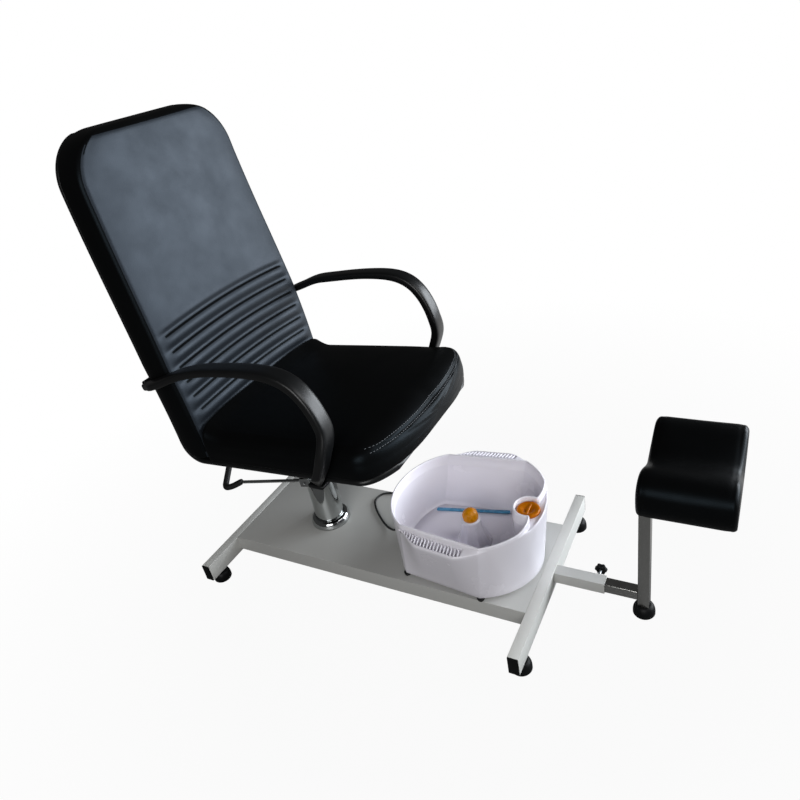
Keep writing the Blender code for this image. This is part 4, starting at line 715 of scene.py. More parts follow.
def capped(loops, shares=(0.0,)):
    """Loops of points with their two ends drawn together to their middles."""
    first = loops[:1].mean(axis=1, keepdims=True)
    last = loops[-1:].mean(axis=1, keepdims=True)
    shares = np.array(shares)[:, None, None]
    start = first + (loops[:1] - first) * shares
    end = last + (loops[-1:] - last) * shares[::-1]
    return np.concatenate([start, loops, end]), False, True


def stand(node, axis=None):
    """Foot, half width and height of a node's box; its axis is the box's middle unless another is given."""
    low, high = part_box(node)
    x, y = middle(node)[:2] if axis is None else axis
    return (x, y, low[2]), 0.5 * (high[0] - low[0]), high[2] - low[2]


def settle(piece, nodes):
    """Let a piece ride with the nodes that it stands for."""
    nodes = [nodes] if isinstance(nodes, str) else list(nodes)
    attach(piece, BODY_OF[nodes[0]])
    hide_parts(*nodes)
    return piece


def bevelled(piece, width, segments=3):
    """Round the edges that turn by more than 35 degrees."""
    rounding = piece.modifiers.new("edge_rounding", "BEVEL")
    rounding.width = width
    rounding.segments = segments
    rounding.limit_method = "ANGLE"
    rounding.angle_limit = math.radians(35.0)
    rounding.harden_normals = True
    return piece


def replaced(name, sheets, finish_name, node, edge=None):
    """A piece from grids of points in a node's place, with its edges rounded if asked."""
    piece = make_piece(name, sheets, finish_name)
    if edge:
        bevelled(piece, edge)
    return settle(piece, node)


def chromed(name, sheet, node, edge=None):
    """A chromed piece from one grid in a node's place."""
    return replaced(name, [sheet], "chrome_plate", node, edge)


def merged_copy(node):
    """A mesh with a node's triangles joined at their corners, and its flat faces made whole."""
    mesh = NODES[node].data.copy()
    work = bmesh.new()
    work.from_mesh(mesh)
    bmesh.ops.remove_doubles(work, verts=work.verts, dist=1e-5)
    bmesh.ops.dissolve_limit(work, angle_limit=math.radians(0.5), verts=work.verts, edges=work.edges)
    work.to_mesh(mesh)
    work.free()
    return mesh


def eased(node, finish_name, width):
    """A node's own shape with its edges rounded."""
    piece = show(node + "_eased", merged_copy(node), finish_name)
    bevelled(piece, width)
    return settle(piece, node)


def dress(nodes, finish_name):
    """Give nodes that keep their CAD shape a finish."""
    for node in nodes:
        mesh = NODES[node].data
        mesh.materials.clear()
        mesh.materials.append(finish(finish_name))


def points_of(mesh):
    """Vertex places and normals as arrays."""
    count = len(mesh.vertices)
    place = np.empty(3 * count, np.float32)
    normal = np.empty(3 * count, np.float32)
    mesh.vertices.foreach_get("co", place)
    mesh.vertex_normals.foreach_get("vector", normal)
    return place.reshape(-1, 3).astype(float), normal.reshape(-1, 3).astype(float)


def put_points(mesh, place):
    """Write vertex places back."""
    mesh.vertices.foreach_set("co", place.astype(np.float32).ravel())
    mesh.update()


def back_rear(z):
    """Outer face of the back at a height: a smooth step of the lean."""
    return BACK_FOOT_Y + BACK_LEAN * smoothstep((z - SHELL_REAR_Z - LEAN_START) / LEAN_SPAN)


def back_half(z):
    """Half width of the back at a height: a straight taper with round top corners."""
    share = np.clip((z - SHELL_REAR_Z - TAPER_START) / (BACK_H - TAPER_START), 0.0, 1.0)
    over = np.clip(z - SHELL_REAR_Z - BACK_H + TOP_ROUND, 0.0, TOP_ROUND)
    half = BACK_HALF + (BACK_TOP_HALF - BACK_HALF) * share
    return half - TOP_ROUND + np.sqrt(np.maximum(TOP_ROUND ** 2 - over ** 2, 0.0))


def seat_half(y):
    """Half width of the seat at a depth: a superellipse rounds its front."""
    share = np.clip(1.0 - (y + SEAT_FRONT) / SEAT_ROUND, 0.0, 1.0)
    return SEAT_HALF * (1.0 - share ** SEAT_POWER) ** (1.0 / SEAT_POWER)


def under_seat(y):
    """Underside of the shell below the seat, a straight slope."""
    return SHELL_Z - SEAT_TILT * y


def seat_seam(y):
    """Height of the seat's front seam at a depth."""
    return under_seat(y) + SHELL_T + SEAT_PAD + SEAT_CROWN - SEAT_SEAM_DROP


def quarter(radius, run):
    """How far a rounded edge has drawn in, a run away from the end: r - sqrt(r^2 - (r - run)^2)."""
    left = np.clip(radius - run, 0.0, radius)
    return radius - np.sqrt(radius ** 2 - left ** 2)


def pillow_section(half, low, high, low_round, high_round, crown):
    """Loops of a cushion across its width, one for each half width: flat below, round corners, crowned above.

    The points are x and height. Corners are quarter circles, and the top rises by the crown times
    1 - |x / half|^p.
    """
    half, low, high = (np.asarray(part, float)[:, None] for part in (half, low, high))
    most = np.minimum(ROUND_OF_HEIGHT * (high - low), ROUND_OF_HALF * half)
    low_round = np.minimum(low_round, most)
    high_round = np.minimum(high_round, most)
    flat = np.linspace(-1.0, 1.0, FLAT_POINTS)[None, :]
    upper = np.linspace(1.0, -1.0, TOP_POINTS)[None, :]
    bend = np.linspace(0.0, math.pi / 2, CORNER_POINTS)[None, 1:-1]
    side = np.linspace(0.0, 1.0, SIDE_POINTS)[None, :]
    rise = high - high_round - low - low_round
    x_low = half - low_round
    x_high = half - high_round
    right_x = [x_low + low_round * np.sin(bend), half + SIDE_BULGE * np.sin(math.pi * side),
               x_high + high_round * np.cos(bend)]
    right_z = [low + low_round * (1 - np.cos(bend)), low + low_round + rise * side,
               high - high_round + high_round * np.sin(bend)]
    top = high + crown * (1.0 - np.abs(upper * x_high / half) ** CROWN_POWER)
    x = np.concatenate([flat * x_low, *right_x, upper * x_high,
                        *(-part[:, ::-1] for part in reversed(right_x))], 1)
    z = np.concatenate([np.broadcast_to(low, (len(half), flat.shape[1])), *right_z, top,
                        *(part[:, ::-1] for part in reversed(right_z))], 1)
    return x, z


def cover(name, loops, finish_name):
    """A closed cover from loops of points."""
    return make_piece(name, [capped(loops, (0.0, 0.3, 0.65))], finish_name)


def spread(mesh, field, rounds):
    """A field on a mesh's points evened out: each round takes half of it and half of its neighbours' mean."""
    ends = np.empty(2 * len(mesh.edges), np.int32)
    mesh.edges.foreach_get("vertices", ends)
    start, end = ends.reshape(-1, 2).T
    count = np.bincount(ends, minlength=len(field))[:, None]
    for _ in range(rounds):
        total = np.zeros_like(field)
        np.add.at(total, start, field[end])
        np.add.at(total, end, field[start])
        field = 0.5 * field + 0.5 * total / count
    return field


def filled(item, held, most):
    """Blow a cover up as cloth under pressure: what rests is held, and no point moves by more than most."""
    mesh = item.data
    place = points_of(mesh)[0]
    group = item.vertex_groups.new(name="held")
    group.add(np.flatnonzero(held(place)).tolist(), 1.0, "REPLACE")
    cloth = item.modifiers.new("filling", "CLOTH")
    cloth.settings.vertex_group_mass = "held"
    cloth.settings.use_pressure = True
    cloth.settings.uniform_pressure_force = CLOTH_PRESSURE
    cloth.settings.quality = CLOTH_QUALITY
    cloth.settings.effector_weights.gravity = 0.0
    cloth.point_cache.frame_start = 1
    cloth.point_cache.frame_end = CLOTH_FRAMES
    for step in range(1, CLOTH_FRAMES + 1):
        bpy.context.scene.frame_set(step)
    graph = bpy.context.evaluated_depsgraph_get()
    move = points_of(item.evaluated_get(graph).data)[0] - place
    item.modifiers.clear()
    item.vertex_groups.clear()
    bpy.context.scene.frame_set(1)
    length = np.linalg.norm(move, axis=1, keepdims=True)
    capped = move * np.minimum(1.0, most / np.maximum(length, 1e-9))
    put_points(mesh, place + spread(mesh, capped, EVEN_ROUNDS))


def upholstered(item, node):
    """Finish a padded cover with one subdivision, and say what it stands for."""
    finer = item.modifiers.new("finer", "SUBSURF")
    finer.levels = 1
    finer.render_levels = 1
    settle(item, node)


def stitches(name, item, start, ahead, node):
    """Stitches on a cover: rays from start towards ahead find it, and a slim oval bar lies at each hit."""
    tree = BVHTree.FromObject(item, bpy.context.evaluated_depsgraph_get())
    hits = [tree.ray_cast(a.tolist(), b.tolist()) for a, b in zip(start, ahead)]
    line = np.array([hit[0] for hit in hits if hit[0] is not None])
    normal = np.array([hit[1] for hit in hits if hit[0] is not None])
    along = headings(line)
    reach = np.linspace(-0.5, 0.5, 6)[:, None] * sizes().stitch
    section = oval(THREAD, THREAD, count=8)
    bars = []
    for spot, way, out in zip(line, along, normal):
        path = spot + 0.3 * THREAD * out + reach * way
        bars.append(carried(path, section, np.cross(out, way), 0.4 * THREAD))
    piece = make_piece(name, bars, "polyester_thread")
    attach(piece, BODY_OF[node])


def seam_pinch(distance):
    """Depth of a sewn seam: a bell of the distance from its line."""
    return sizes().seam_depth * np.exp(-(distance / sizes().seam_width) ** 2)


class CHAIR_OT_camera(bpy.types.Operator):
    """Put the camera where the view was taken from"""
    bl_idname = "chair.camera"
    bl_label = "Camera"

    def execute(self, context):
        data = bpy.data.cameras.new("view")
        data.lens = LENS_MM
        data.sensor_width = 36.0
        data.clip_end = 100.0
        camera = bpy.data.objects.new("view", data)
        turn = np.array([VIEW_RIGHT, [-part for part in VIEW_DOWN], [-part for part in VIEW_AHEAD]]).T
        camera.matrix_world = Matrix.Translation(VIEW_FROM) @ Matrix(turn.tolist()).to_4x4()
        context.scene.collection.objects.link(camera)
        context.scene.camera = camera
        return {"FINISHED"}


def coil_route():
    """Flat spiral in, a half turn up a layer and a spiral out, clockwise from above, with straight ends."""
    steps = COIL_TURNS * LOOP_POINTS
    turn = np.arange(steps + 1) / LOOP_POINTS
    climb = np.arange(1, LOOP_POINTS // 2) / (LOOP_POINTS // 2)
    inner = COIL_R_OUT - COIL_TURNS * COIL_PITCH
    high = COIL_LOW + COIL_PITCH
    angle = np.concatenate([turn, COIL_TURNS + climb / 2, COIL_TURNS + 0.5 + turn]) * 2 * math.pi
    radius = np.concatenate([COIL_R_OUT - COIL_PITCH * turn,
                             inner - 0.5 * COIL_PITCH * np.sin(math.pi * climb),
                             inner + COIL_PITCH * turn])
    level = np.concatenate([np.full(steps + 1, COIL_LOW), COIL_LOW + COIL_PITCH * smoothstep(climb),
                            np.full(steps + 1, high)])
    route = np.stack([COIL_X + radius * np.cos(angle), COIL_Y - radius * np.sin(angle), level], -1)
    return np.vstack([route[0] + (0.0, COIL_TAIL, 0.0), route, route[-1] + (0.0, PLUG_TAIL, 0.0)])


def cord_route():
    """From the gland to the deck, round in a loop, over the far edge and along the floor to the coil."""
    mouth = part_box("cord_gland")[1].y
    exit_z = middle("cord_gland")[2]
    rest = DECK_TOP + CORD_R + GAP
    coil = coil_route()
    start = coil[0]
    floor = start[2]
    drop = [(-0.006, -0.214, rest + 0.010), (0.010, -0.184, rest + 0.001), (0.037, -0.148, rest),
            (0.072, -0.112, rest), (0.104, -0.093, rest), (0.134, -0.100, rest), (0.1475, -0.130, rest),
            (0.149, -0.170, rest), (0.152, -0.208, rest + 0.0005), (0.162, -0.242, rest - 0.001),
            (0.178, -0.268, rest - 0.018), (0.199, -0.289, rest - 0.046), (0.224, -0.307, floor + 0.010),
            (0.252, -0.330, floor), (0.271, -0.362, floor)]
    lead = [(TUB_X, mouth - 0.0005, exit_z), (TUB_X, mouth + 0.0155, exit_z - 0.0004)]
    knots = lead + [(x, COLUMN_Y + y, z) for x, y, z in drop] + [start + (0.0, COIL_TAIL, 0.0), start]
    return np.vstack([through(knots, 40)[:-1], coil])


class CHAIR_OT_cord(bpy.types.Operator):
    """Mains cord with its stored coil, its tie, its gland and its plug"""
    bl_idname = "chair.cord"
    bl_label = "Mains cord"

    def execute(self, context):
        route = cord_route()
        curve = bpy.data.curves.new("mains_lead", "CURVE")
        curve.dimensions = "3D"
        curve.resolution_u = 4
        spline = curve.splines.new("BEZIER")
        spline.bezier_points.add(len(route) - 1)
        spline.bezier_points.foreach_set("co", route.ravel())
        slope = np.gradient(route, axis=0) / 3.0
        for point, at, way in zip(spline.bezier_points, route, slope):
            point.handle_left_type = "FREE"
            point.handle_right_type = "FREE"
            point.handle_left = at - way
            point.handle_right = at + way
        curve.bevel_depth = CORD_R
        curve.bevel_resolution = 4
        curve.use_fill_caps = True
        curve.materials.append(finish("moulded_rubber"))
        lead = bpy.data.objects.new("mains_lead", curve)
        context.scene.collection.objects.link(lead)
        settle(lead, ["mains_cord", "cord_coil"])

        low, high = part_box("mains_plug")
        centre = middle("mains_plug")
        width, _, height = np.array(high) - np.array(low)
        neck = low[1] + PLUG_LEN
        path = np.linspace((centre[0], low[1], centre[2]), (centre[0], neck, centre[2]), 24)
        swell = 0.72 + 0.28 * smoothstep(np.linspace(0.0, 2.2, 24))
        body, rows, cols = rounded_bar(path, oval(width, height, 3.2), SIDEWAYS, PLUG_ROUND)
        share = np.interp(body[:, 0, 1], path[:, 1], swell)
        axis = np.stack([np.full(len(body), centre[0]), body[:, 0, 1], np.full(len(body), centre[2])], -1)
        scale = np.stack([share, np.ones_like(share), 0.25 + 0.75 * share], -1)
        body = axis[:, None, :] + (body - axis[:, None, :]) * scale[:, None, :]
        plug = replaced("plug_body", [(body, rows, cols)], "moulded_polypropylene", "mains_plug")
        pins = []
        for side in (-PIN_HALF_PITCH, PIN_HALF_PITCH):
            root = (centre[0] + side, neck - PLUG_ROUND, centre[2])
            tip = (centre[0] + side, high[1], centre[2])
            pin = oval(PIN_WIDTH, PIN_WIDTH, count=16)
            pins.append(rounded_bar(np.linspace(root, tip, 12), pin, SIDEWAYS, PIN_END))
        pin_piece = make_piece("plug_pins", pins, "zinc_plate")
        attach(pin_piece, "basin")
        tie = eased("cord_tie", "moulded_polypropylene", TIE_EDGE)

        root = TUB_REAR_Y - GLAND_SUNK
        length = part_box("cord_gland")[1].y - root
        run = np.linspace(0.0, 1.0, 60)
        ridges = GLAND_RIDGE * np.cos(2 * math.pi * GLAND_RIDGES * run) * (run > 0.15)
        taper = GLAND_R - GLAND_TAPER * run + ridges
        profile = np.vstack([[(0.0, 0.0)], np.stack([taper, run * length], -1), [(0.0, length)]])
        sleeve = turned(profile, (TUB_X, root, middle("cord_gland")[2]), TO_REAR, 40)
        replaced("gland_sleeve", [sleeve], "moulded_rubber", "cord_gland")
        return {"FINISHED"}


class CHAIR_OT_seat(bpy.types.Operator):
    """Seat cushion with a sewn front border"""
    bl_idname = "chair.seat"
    bl_label = "Seat cushion"

    def execute(self, context):
        turn = np.linspace(0.16, math.pi / 2, 26)
        front = SEAT_ROUND * (1.0 - np.cos(turn) ** (2.0 / SEAT_POWER))
        rear = BACK_FOOT_Y - BACK_THICK - GAP + SEAT_FRONT
        reach = np.concatenate([front, np.linspace(SEAT_ROUND, rear, 70)[1:]])
        y = reach - SEAT_FRONT
        share = np.clip(1.0 - reach / SEAT_ROUND, 0.0, 1.0)
        base = under_seat(y) + SHELL_T + GAP
        heel = np.clip(1.0 - (rear - reach) / SEAT_HEEL, 0.0, 1.0)
        high = base + SEAT_PAD - SEAT_ROLL * (1.0 - np.sqrt(1.0 - share ** 2)) + SEAT_HEEL_RISE * heel ** 2
        low = base + quarter(SEAT_NOSE, reach)
        x, z = pillow_section(seat_half(y), low, high, SEAT_LOW_ROUND, SEAT_TOP_ROUND, SEAT_CROWN)
        loops = np.stack([x, np.broadcast_to(COLUMN_Y + y[:, None], x.shape), z], -1)
        item = cover("seat_cover", loops, "black_leatherette")
        filled(item, lambda at: at[:, 2] < under_seat(at[:, 1] - COLUMN_Y) + SHELL_T + HELD_DEPTH, SEAT_SWELL)
        place, normal = points_of(item.data)
        depth = place[:, 1] - COLUMN_Y
        near = smoothstep((SEAM_REACH - SEAT_FRONT - depth) / SEAM_FADE) * (normal[:, 2] > -0.2)
        put_points(item.data, place - normal * (near * seam_pinch(place[:, 2] - seat_seam(depth)))[:, None])
        upholstered(item, "seat_cushion")
        across = np.linspace(-STITCH_HALF, STITCH_HALF, int(2 * STITCH_HALF / sizes().stitch_pitch))
        ahead = np.broadcast_to(LENGTHWAYS, (len(across), 3))
        for row, lift in (("upper", STITCH_LIFT), ("lower", -STITCH_LIFT)):
            level = seat_seam(-SEAT_FRONT) + lift
            spot = np.array([(x, COLUMN_Y - SEAT_FRONT - RAY_START, level) for x in across])
            stitches(f"seat_stitches_{row}", item, spot, ahead, "seat_cushion")
        return {"FINISHED"}


def channel_arch(x, rise):
    """How far the back's rows arch up: 1 - (x / half)^2, only round the channels."""
    window = smoothstep((rise - ARCH_FROM) / ARCH_IN)
    window = window * smoothstep((CHANNEL_TOP + ARCH_OVER - rise) / ARCH_OUT)
    return sizes().channel_arch * window * np.maximum(1.0 - (x / BACK_HALF) ** 2, 0.0)


class CHAIR_OT_back(bpy.types.Operator):
    """Back cushion with sewn channels across the small of the back"""
    bl_idname = "chair.back"
    bl_label = "Back cushion"

    def execute(self, context):
        row = CHANNEL_STEP / ROWS_PER_CHANNEL
        shoulder = BACK_H - TOP_ROUND
        rise = CHANNEL_TOP + row * np.arange(-ROWS_BELOW, int((shoulder - CHANNEL_TOP) / row))
        rise = np.concatenate([rise, shoulder + TOP_ROUND * np.sin(np.linspace(0.0, math.pi / 2, 22))])
        z = SHELL_REAR_Z + rise
        inner = BEND_R - SHELL_T - GAP
        dip = np.clip(BEND_R - rise, 0.0, inner)
        bend = BEND_Y + np.sqrt(inner ** 2 - dip ** 2)
        rear = back_rear(z) - SHELL_T - GAP
        rear = np.where(rise < BEND_R, np.minimum(bend, rear), rear) - quarter(BACK_REAR_ROUND, BACK_H - rise)
        front = back_rear(z) - BACK_THICK + quarter(BACK_BROW, BACK_H - rise)
        thick = rear - front - BACK_CROWN
        x, deep = pillow_section(back_half(z), np.zeros_like(z), thick, BACK_LOW_ROUND, BACK_EDGE, BACK_CROWN)
        lifted = z[:, None] + channel_arch(x, rise[:, None])
        lean = back_rear(lifted) - back_rear(z)[:, None]
        loops = np.stack([x, COLUMN_Y + rear[:, None] + lean - deep, lifted], -1)
        item = cover("back_cover", loops, "pvc_leatherette")
        filled(item, lambda at: at[:, 1] - COLUMN_Y > back_rear(at[:, 2]) - SHELL_T - HELD_DEPTH, BACK_SWELL)
        place, normal = points_of(item.data)
        rise = place[:, 2] - SHELL_REAR_Z
        phase = (CHANNEL_TOP - rise + channel_arch(place[:, 0], rise)) / CHANNEL_STEP
        distance = (phase - np.clip(np.round(phase), 0, CHANNELS - 1)) * CHANNEL_STEP
        within = smoothstep((phase + 0.5) / 0.5) * smoothstep((CHANNELS - 0.5 - phase) / 0.5)
        inside = smoothstep((back_half(place[:, 2]) - CHANNEL_END - np.abs(place[:, 0])) / CHANNEL_FADE)
        facing = smoothstep((-normal[:, 1] - 0.2) / 0.4)
        groove = sizes().channel_pinch * np.exp(-(distance / CHANNEL_WIDTH) ** 2)
        swell = sizes().channel_puff * np.sin(math.pi * phase) ** 2 * within
        put_points(item.data, place + normal * ((swell - groove) * inside * facing)[:, None])
        # Painted sheen and shade: faces that look squarely to the front take the lighter leatherette, the border
        # takes the plain black, two copies of one leatherette split by facing
        item.data.materials.append(finish("black_leatherette"))
        heading = np.empty(3 * len(item.data.polygons), np.float32)
        item.data.polygons.foreach_get("normal", heading)
        border = (heading.reshape(-1, 3)[:, 1] > -SHEEN_FACING).astype(np.int32)
        item.data.polygons.foreach_set("material_index", border)
        upholstered(item, "back_cushion")
        return {"FINISHED"}


def pad_top(share):
    """Gutter of the calf pad across its width: a cosine dip between the lips, a rounded fall outside them."""
    share = np.abs(share)
    groove = -PAD_GROOVE * 0.5 * (1.0 + np.cos(math.pi * np.minimum(share / PAD_LIP, 1.0)))
    edge = np.clip((share - PAD_LIP) / (1.0 - PAD_LIP), 0.0, 1.0)
    return groove - PAD_SHOULDER * (1.0 - np.sqrt(np.maximum(1.0 - edge ** 2, 0.0)))


class CHAIR_OT_calf_pad(bpy.types.Operator):
    """Gutter-shaped calf pad with end seams"""
    bl_idname = "chair.calf_pad"
    bl_label = "Calf pad"

    def execute(self, context):
        low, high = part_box("footrest_pad")
        length = high[1] - low[1]
        end = PAD_END_ROUND * (1.0 - np.cos(np.linspace(0.0, math.pi / 2, 7)))
        run = np.concatenate([end, np.linspace(PAD_END_ROUND, length / 2, 18)[1:]])
        run = np.concatenate([run, length - run[-2::-1]])
        draw = quarter(PAD_END_ROUND, np.minimum(run, length - run))[:, None]
        share = np.sin(np.linspace(-math.pi / 2, math.pi / 2, 80))[None, :]
        bend = np.linspace(0.0, 1.0, 14)[None, 1:-1]
        flat = np.linspace(1.0, -1.0, 46)[None, :]
        side_x = bezier(bend, PAD_HALF, PAD_HALF + PAD_BELLY, PAD_FOOT_HALF)
        side_z = bezier(bend, PAD_H - PAD_SHOULDER, PAD_TUCK, PAD_TURN)
        lip = PAD_TURN * smoothstep((np.abs(flat) - 0.86) / 0.1)
        x = np.concatenate([share * (PAD_HALF - draw), side_x - draw, flat * (PAD_FOOT_HALF - draw),
                            -side_x[:, ::-1] + draw], 1)
        z = np.concatenate([PAD_H + pad_top(share) - draw, side_z + 0.0 * draw, lip + 0.5 * draw,
                            side_z[:, ::-1] + 0.0 * draw], 1)
        y = np.broadcast_to(low[1] + run[:, None], x.shape)
        item = cover("calf_cover", np.stack([x, y, PAD_BASE_Z + z], -1), "black_leatherette")
        filled(item, lambda at: at[:, 2] < PAD_BASE_Z + PAD_HELD, PAD_SWELL)
        place, normal = points_of(item.data)
        for line in (low[1] + PAD_SEAM_IN, high[1] - PAD_SEAM_IN):
            place = place - normal * 0.5 * seam_pinch(place[:, 1] - line)[:, None]
        put_points(item.data, place)
        upholstered(item, "footrest_pad")
        return {"FINISHED"}


def shell_plate():
    """Plate of the shell, an L from the side: seat slope, round bend and leaning back, with round edges."""
    seat_y = np.linspace(SHELL_BACK - SEAT_FRONT, BEND_Y, 90)
    seat = np.stack([seat_y, under_seat(seat_y) + SHELL_T / 2], -1)
    angle = np.linspace(0.0, math.pi / 2, 22)[1:-1]
    middle_r = BEND_R - SHELL_T / 2
    bend = np.stack([BEND_Y + middle_r * np.sin(angle),
                     SHELL_REAR_Z + BEND_R - middle_r * np.cos(angle)], -1)
    top = BACK_H - TOP_ROUND
    corner = top + (TOP_ROUND - SHELL_IN) * np.sin(np.linspace(0.1, math.pi / 2, 20))
    back_z = SHELL_REAR_Z + np.concatenate([np.linspace(BEND_R, top, 60), corner])
    back = np.stack([back_rear(back_z) - SHELL_T / 2, back_z], -1)
    line = np.vstack([seat, bend, back])
    half = np.concatenate([seat_half(seat_y), np.full(len(bend), BACK_HALF), back_half(back_z)]) - SHELL_IN
    along = headings(line)
    up = np.stack([-along[:, 1], along[:, 0]], -1)
    reach = run_along(line)
    radius = SHELL_T / 2
    thick = (radius - quarter(radius, np.minimum(reach, reach[-1] - reach)) + SHELL_TIP)[:, None]
    edge = np.linspace(-math.pi / 2, math.pi / 2, 11)[None, :]
    flat = np.linspace(-1.0, 1.0, 30)[None, 1:-1]
    straight = np.maximum(half[:, None] - radius, 0.0)
    x = np.concatenate([straight + radius * np.cos(edge), -flat * straight, -straight - radius * np.cos(edge),
                        flat * straight], 1)
    level = np.broadcast_to(thick, (len(line), flat.shape[1]))
    v = np.concatenate([thick * np.sin(edge), level, -thick * np.sin(edge), -level], 1)
    y = COLUMN_Y + line[:, :1] + v * up[:, :1]
    z = line[:, 1:] + v * up[:, 1:]
    return np.stack([x, y, z], -1)


class CHAIR_OT_shell(bpy.types.Operator):
    """Shell behind the back and under the seat, with its mount and bolts"""
    bl_idname = "chair.shell"
    bl_label = "Shell and mount"

    def execute(self, context):
        plate = capped(shell_plate())
        replaced("shell_plate", [plate], "moulded_polypropylene", "chair_shell")
        eased("seat_mount", "moulded_polypropylene", MOUNT_EDGE)
        dress([f"mount_bolt_{k}" for k in range(1, 5)], "zinc_plate")
        for side in ("left", "right"):
            dress([f"{side}_arm_front_bolt", f"{side}_arm_rear_bolt"], "zinc_plate")
        return {"FINISHED"}


def arm_path(sign):
    """Line of an arm: from behind the back over an arch, that leans in, down to the seat's edge."""
    drop = ARM_TOP - ARM_REAR_Z
    knots = [(ARM_REAR_Y, ARM_REAR_Z), (0.6 * ARM_REAR_Y, ARM_REAR_Z + 0.38 * drop),
             (0.15 * ARM_REAR_Y, ARM_REAR_Z + 0.78 * drop), (ARM_PEAK_Y, ARM_TOP),
             (0.45 * ARM_PEAK_Y + 0.55 * ARM_FRONT_Y, ARM_TOP - 0.008),
             (0.15 * ARM_PEAK_Y + 0.85 * ARM_FRONT_Y, ARM_TOP - 0.050), (ARM_FRONT_Y, ARM_FOOT_Z + 0.150),
             (ARM_FRONT_Y + 0.020, ARM_FOOT_Z + 0.075), (ARM_TIP_Y, ARM_TIP_Z)]
    line = through(knots, 120)
    lean = ARM_BOW * smoothstep((ARM_LEAN_Y - line[:, 0]) / ARM_LEAN_RUN)
    lean = lean * smoothstep((line[:, 1] - ARM_LEAN_Z) / ARM_LEAN_RISE)
    return np.stack([sign * (ARM_X - lean), COLUMN_Y + line[:, 0], line[:, 1]], -1)


class CHAIR_OT_arms(bpy.types.Operator):
    """Two moulded arm loops with their tabs"""
    bl_idname = "chair.arms"
    bl_label = "Arms"

    def execute(self, context):
        for name in ("left_arm", "right_arm"):
            sign = np.sign(middle(name)[0])
            path = arm_path(sign)
            dense = ends_dense(path, ARM_END)
            share = np.linspace(0.0, 1.0, len(dense))
            front = smoothstep((share - ARM_SWELL_AT) / ARM_SWELL_RUN)
            front = front * smoothstep((ARM_EBB_AT - share) / ARM_EBB_RUN)
            tail = smoothstep(1.0 - share / ARM_TAIL_RUN)
            slim = 1.0 - ARM_TAIL_THIN * tail + (ARM_BEND_T - ARM_T) / ARM_T * front
            band, rows, cols = carried(dense, oval(ARM_W, ARM_T, 3.6, 64), SIDEWAYS, ARM_END, slim)
            edge = sign * (ARM_X - ARM_W / 2)
            toe = ARM_TOE * smoothstep((ARM_TIP_Z + ARM_TOE_RUN - band[:, :, 2]) / ARM_TOE_RUN)
            heel = COLUMN_Y + ARM_REAR_Y - ARM_HEEL_RUN
            narrow = np.maximum(toe, ARM_HEEL * smoothstep((band[:, :, 1] - heel) / ARM_HEEL_RUN))
            band[:, :, 0] = edge + (band[:, :, 0] - edge) * (1.0 - narrow)
            inner = edge + sign * 0.010
            reach = sign * (ARM_X - ARM_W / 2 - ARM_TAB)
            sheets = [(band, rows, cols)]
            foot = np.array([0.0, COLUMN_Y + ARM_FOOT_Y - 0.006, ARM_FOOT_Z])
            for spot, (tall, deep) in ((path[0], REAR_TAB), (foot, FRONT_TAB)):
                line = np.linspace((inner, spot[1], spot[2]), (reach, spot[1], spot[2]), 20)
                sheets.append(rounded_bar(line, oval(deep, tall, 6.0, 40), LENGTHWAYS, TAB_END))
            replaced(name + "_loop", sheets, "moulded_polypropylene", name)
        return {"FINISHED"}


class CHAIR_OT_base(bpy.types.Operator):
    """Deck, cross tubes and end caps"""
    bl_idname = "chair.base"
    bl_label = "Base frame"

    def execute(self, context):
        edge = sizes().edge
        # The deck and the sleeve take the darker copy of the coat, painted shade
        eased("deck_panel", "deck_powder_coat", DECK_EDGE)
        eased("footrest_sleeve", "deck_powder_coat", edge)
        for node in ("rear_cross_tube", "front_cross_tube"):
            eased(node, "powder_coat", edge)
        for end in ("rear", "front"):
            for side in ("left", "right"):
                eased(f"end_cap_{end}_{side}", "dull_polypropylene", edge)
        return {"FINISHED"}


class CHAIR_OT_feet(bpy.types.Operator):
    """Domed levelling feet on threaded studs"""
    bl_idname = "chair.feet"
    bl_label = "Levelling feet"

    def execute(self, context):
        nodes = [f"glide_{end}_{side}" for end in ("rear", "front") for side in ("left", "right")]
        dome = np.linspace(0.0, math.pi / 2, 18)
        sunk = FOOT_BODY - STUD_SUNK
        for node in nodes + ["post_glide"]:
            at, radius, tall = stand(node)
            arch = np.stack([FOOT_NECK + (radius - FOOT_NECK) * np.sin(dome),
                             FOOT_RIM + (FOOT_BODY - FOOT_RIM) * np.cos(dome)], -1)
            sole = [(radius, 0.0026), (radius - 0.0016, 0.0), (0.0, 0.0)]
            foot = np.vstack([[(0.0, FOOT_BODY)], arch, sole])
            stud = [(0.0, sunk), (STUD_R, sunk), (STUD_R, tall), (0.0, tall)]
            sheets = [turned(foot, at), turned(stud, at, segments=24)]
            replaced(node + "_foot", sheets, "dull_polypropylene", node, FOOT_EDGE)
        return {"FINISHED"}


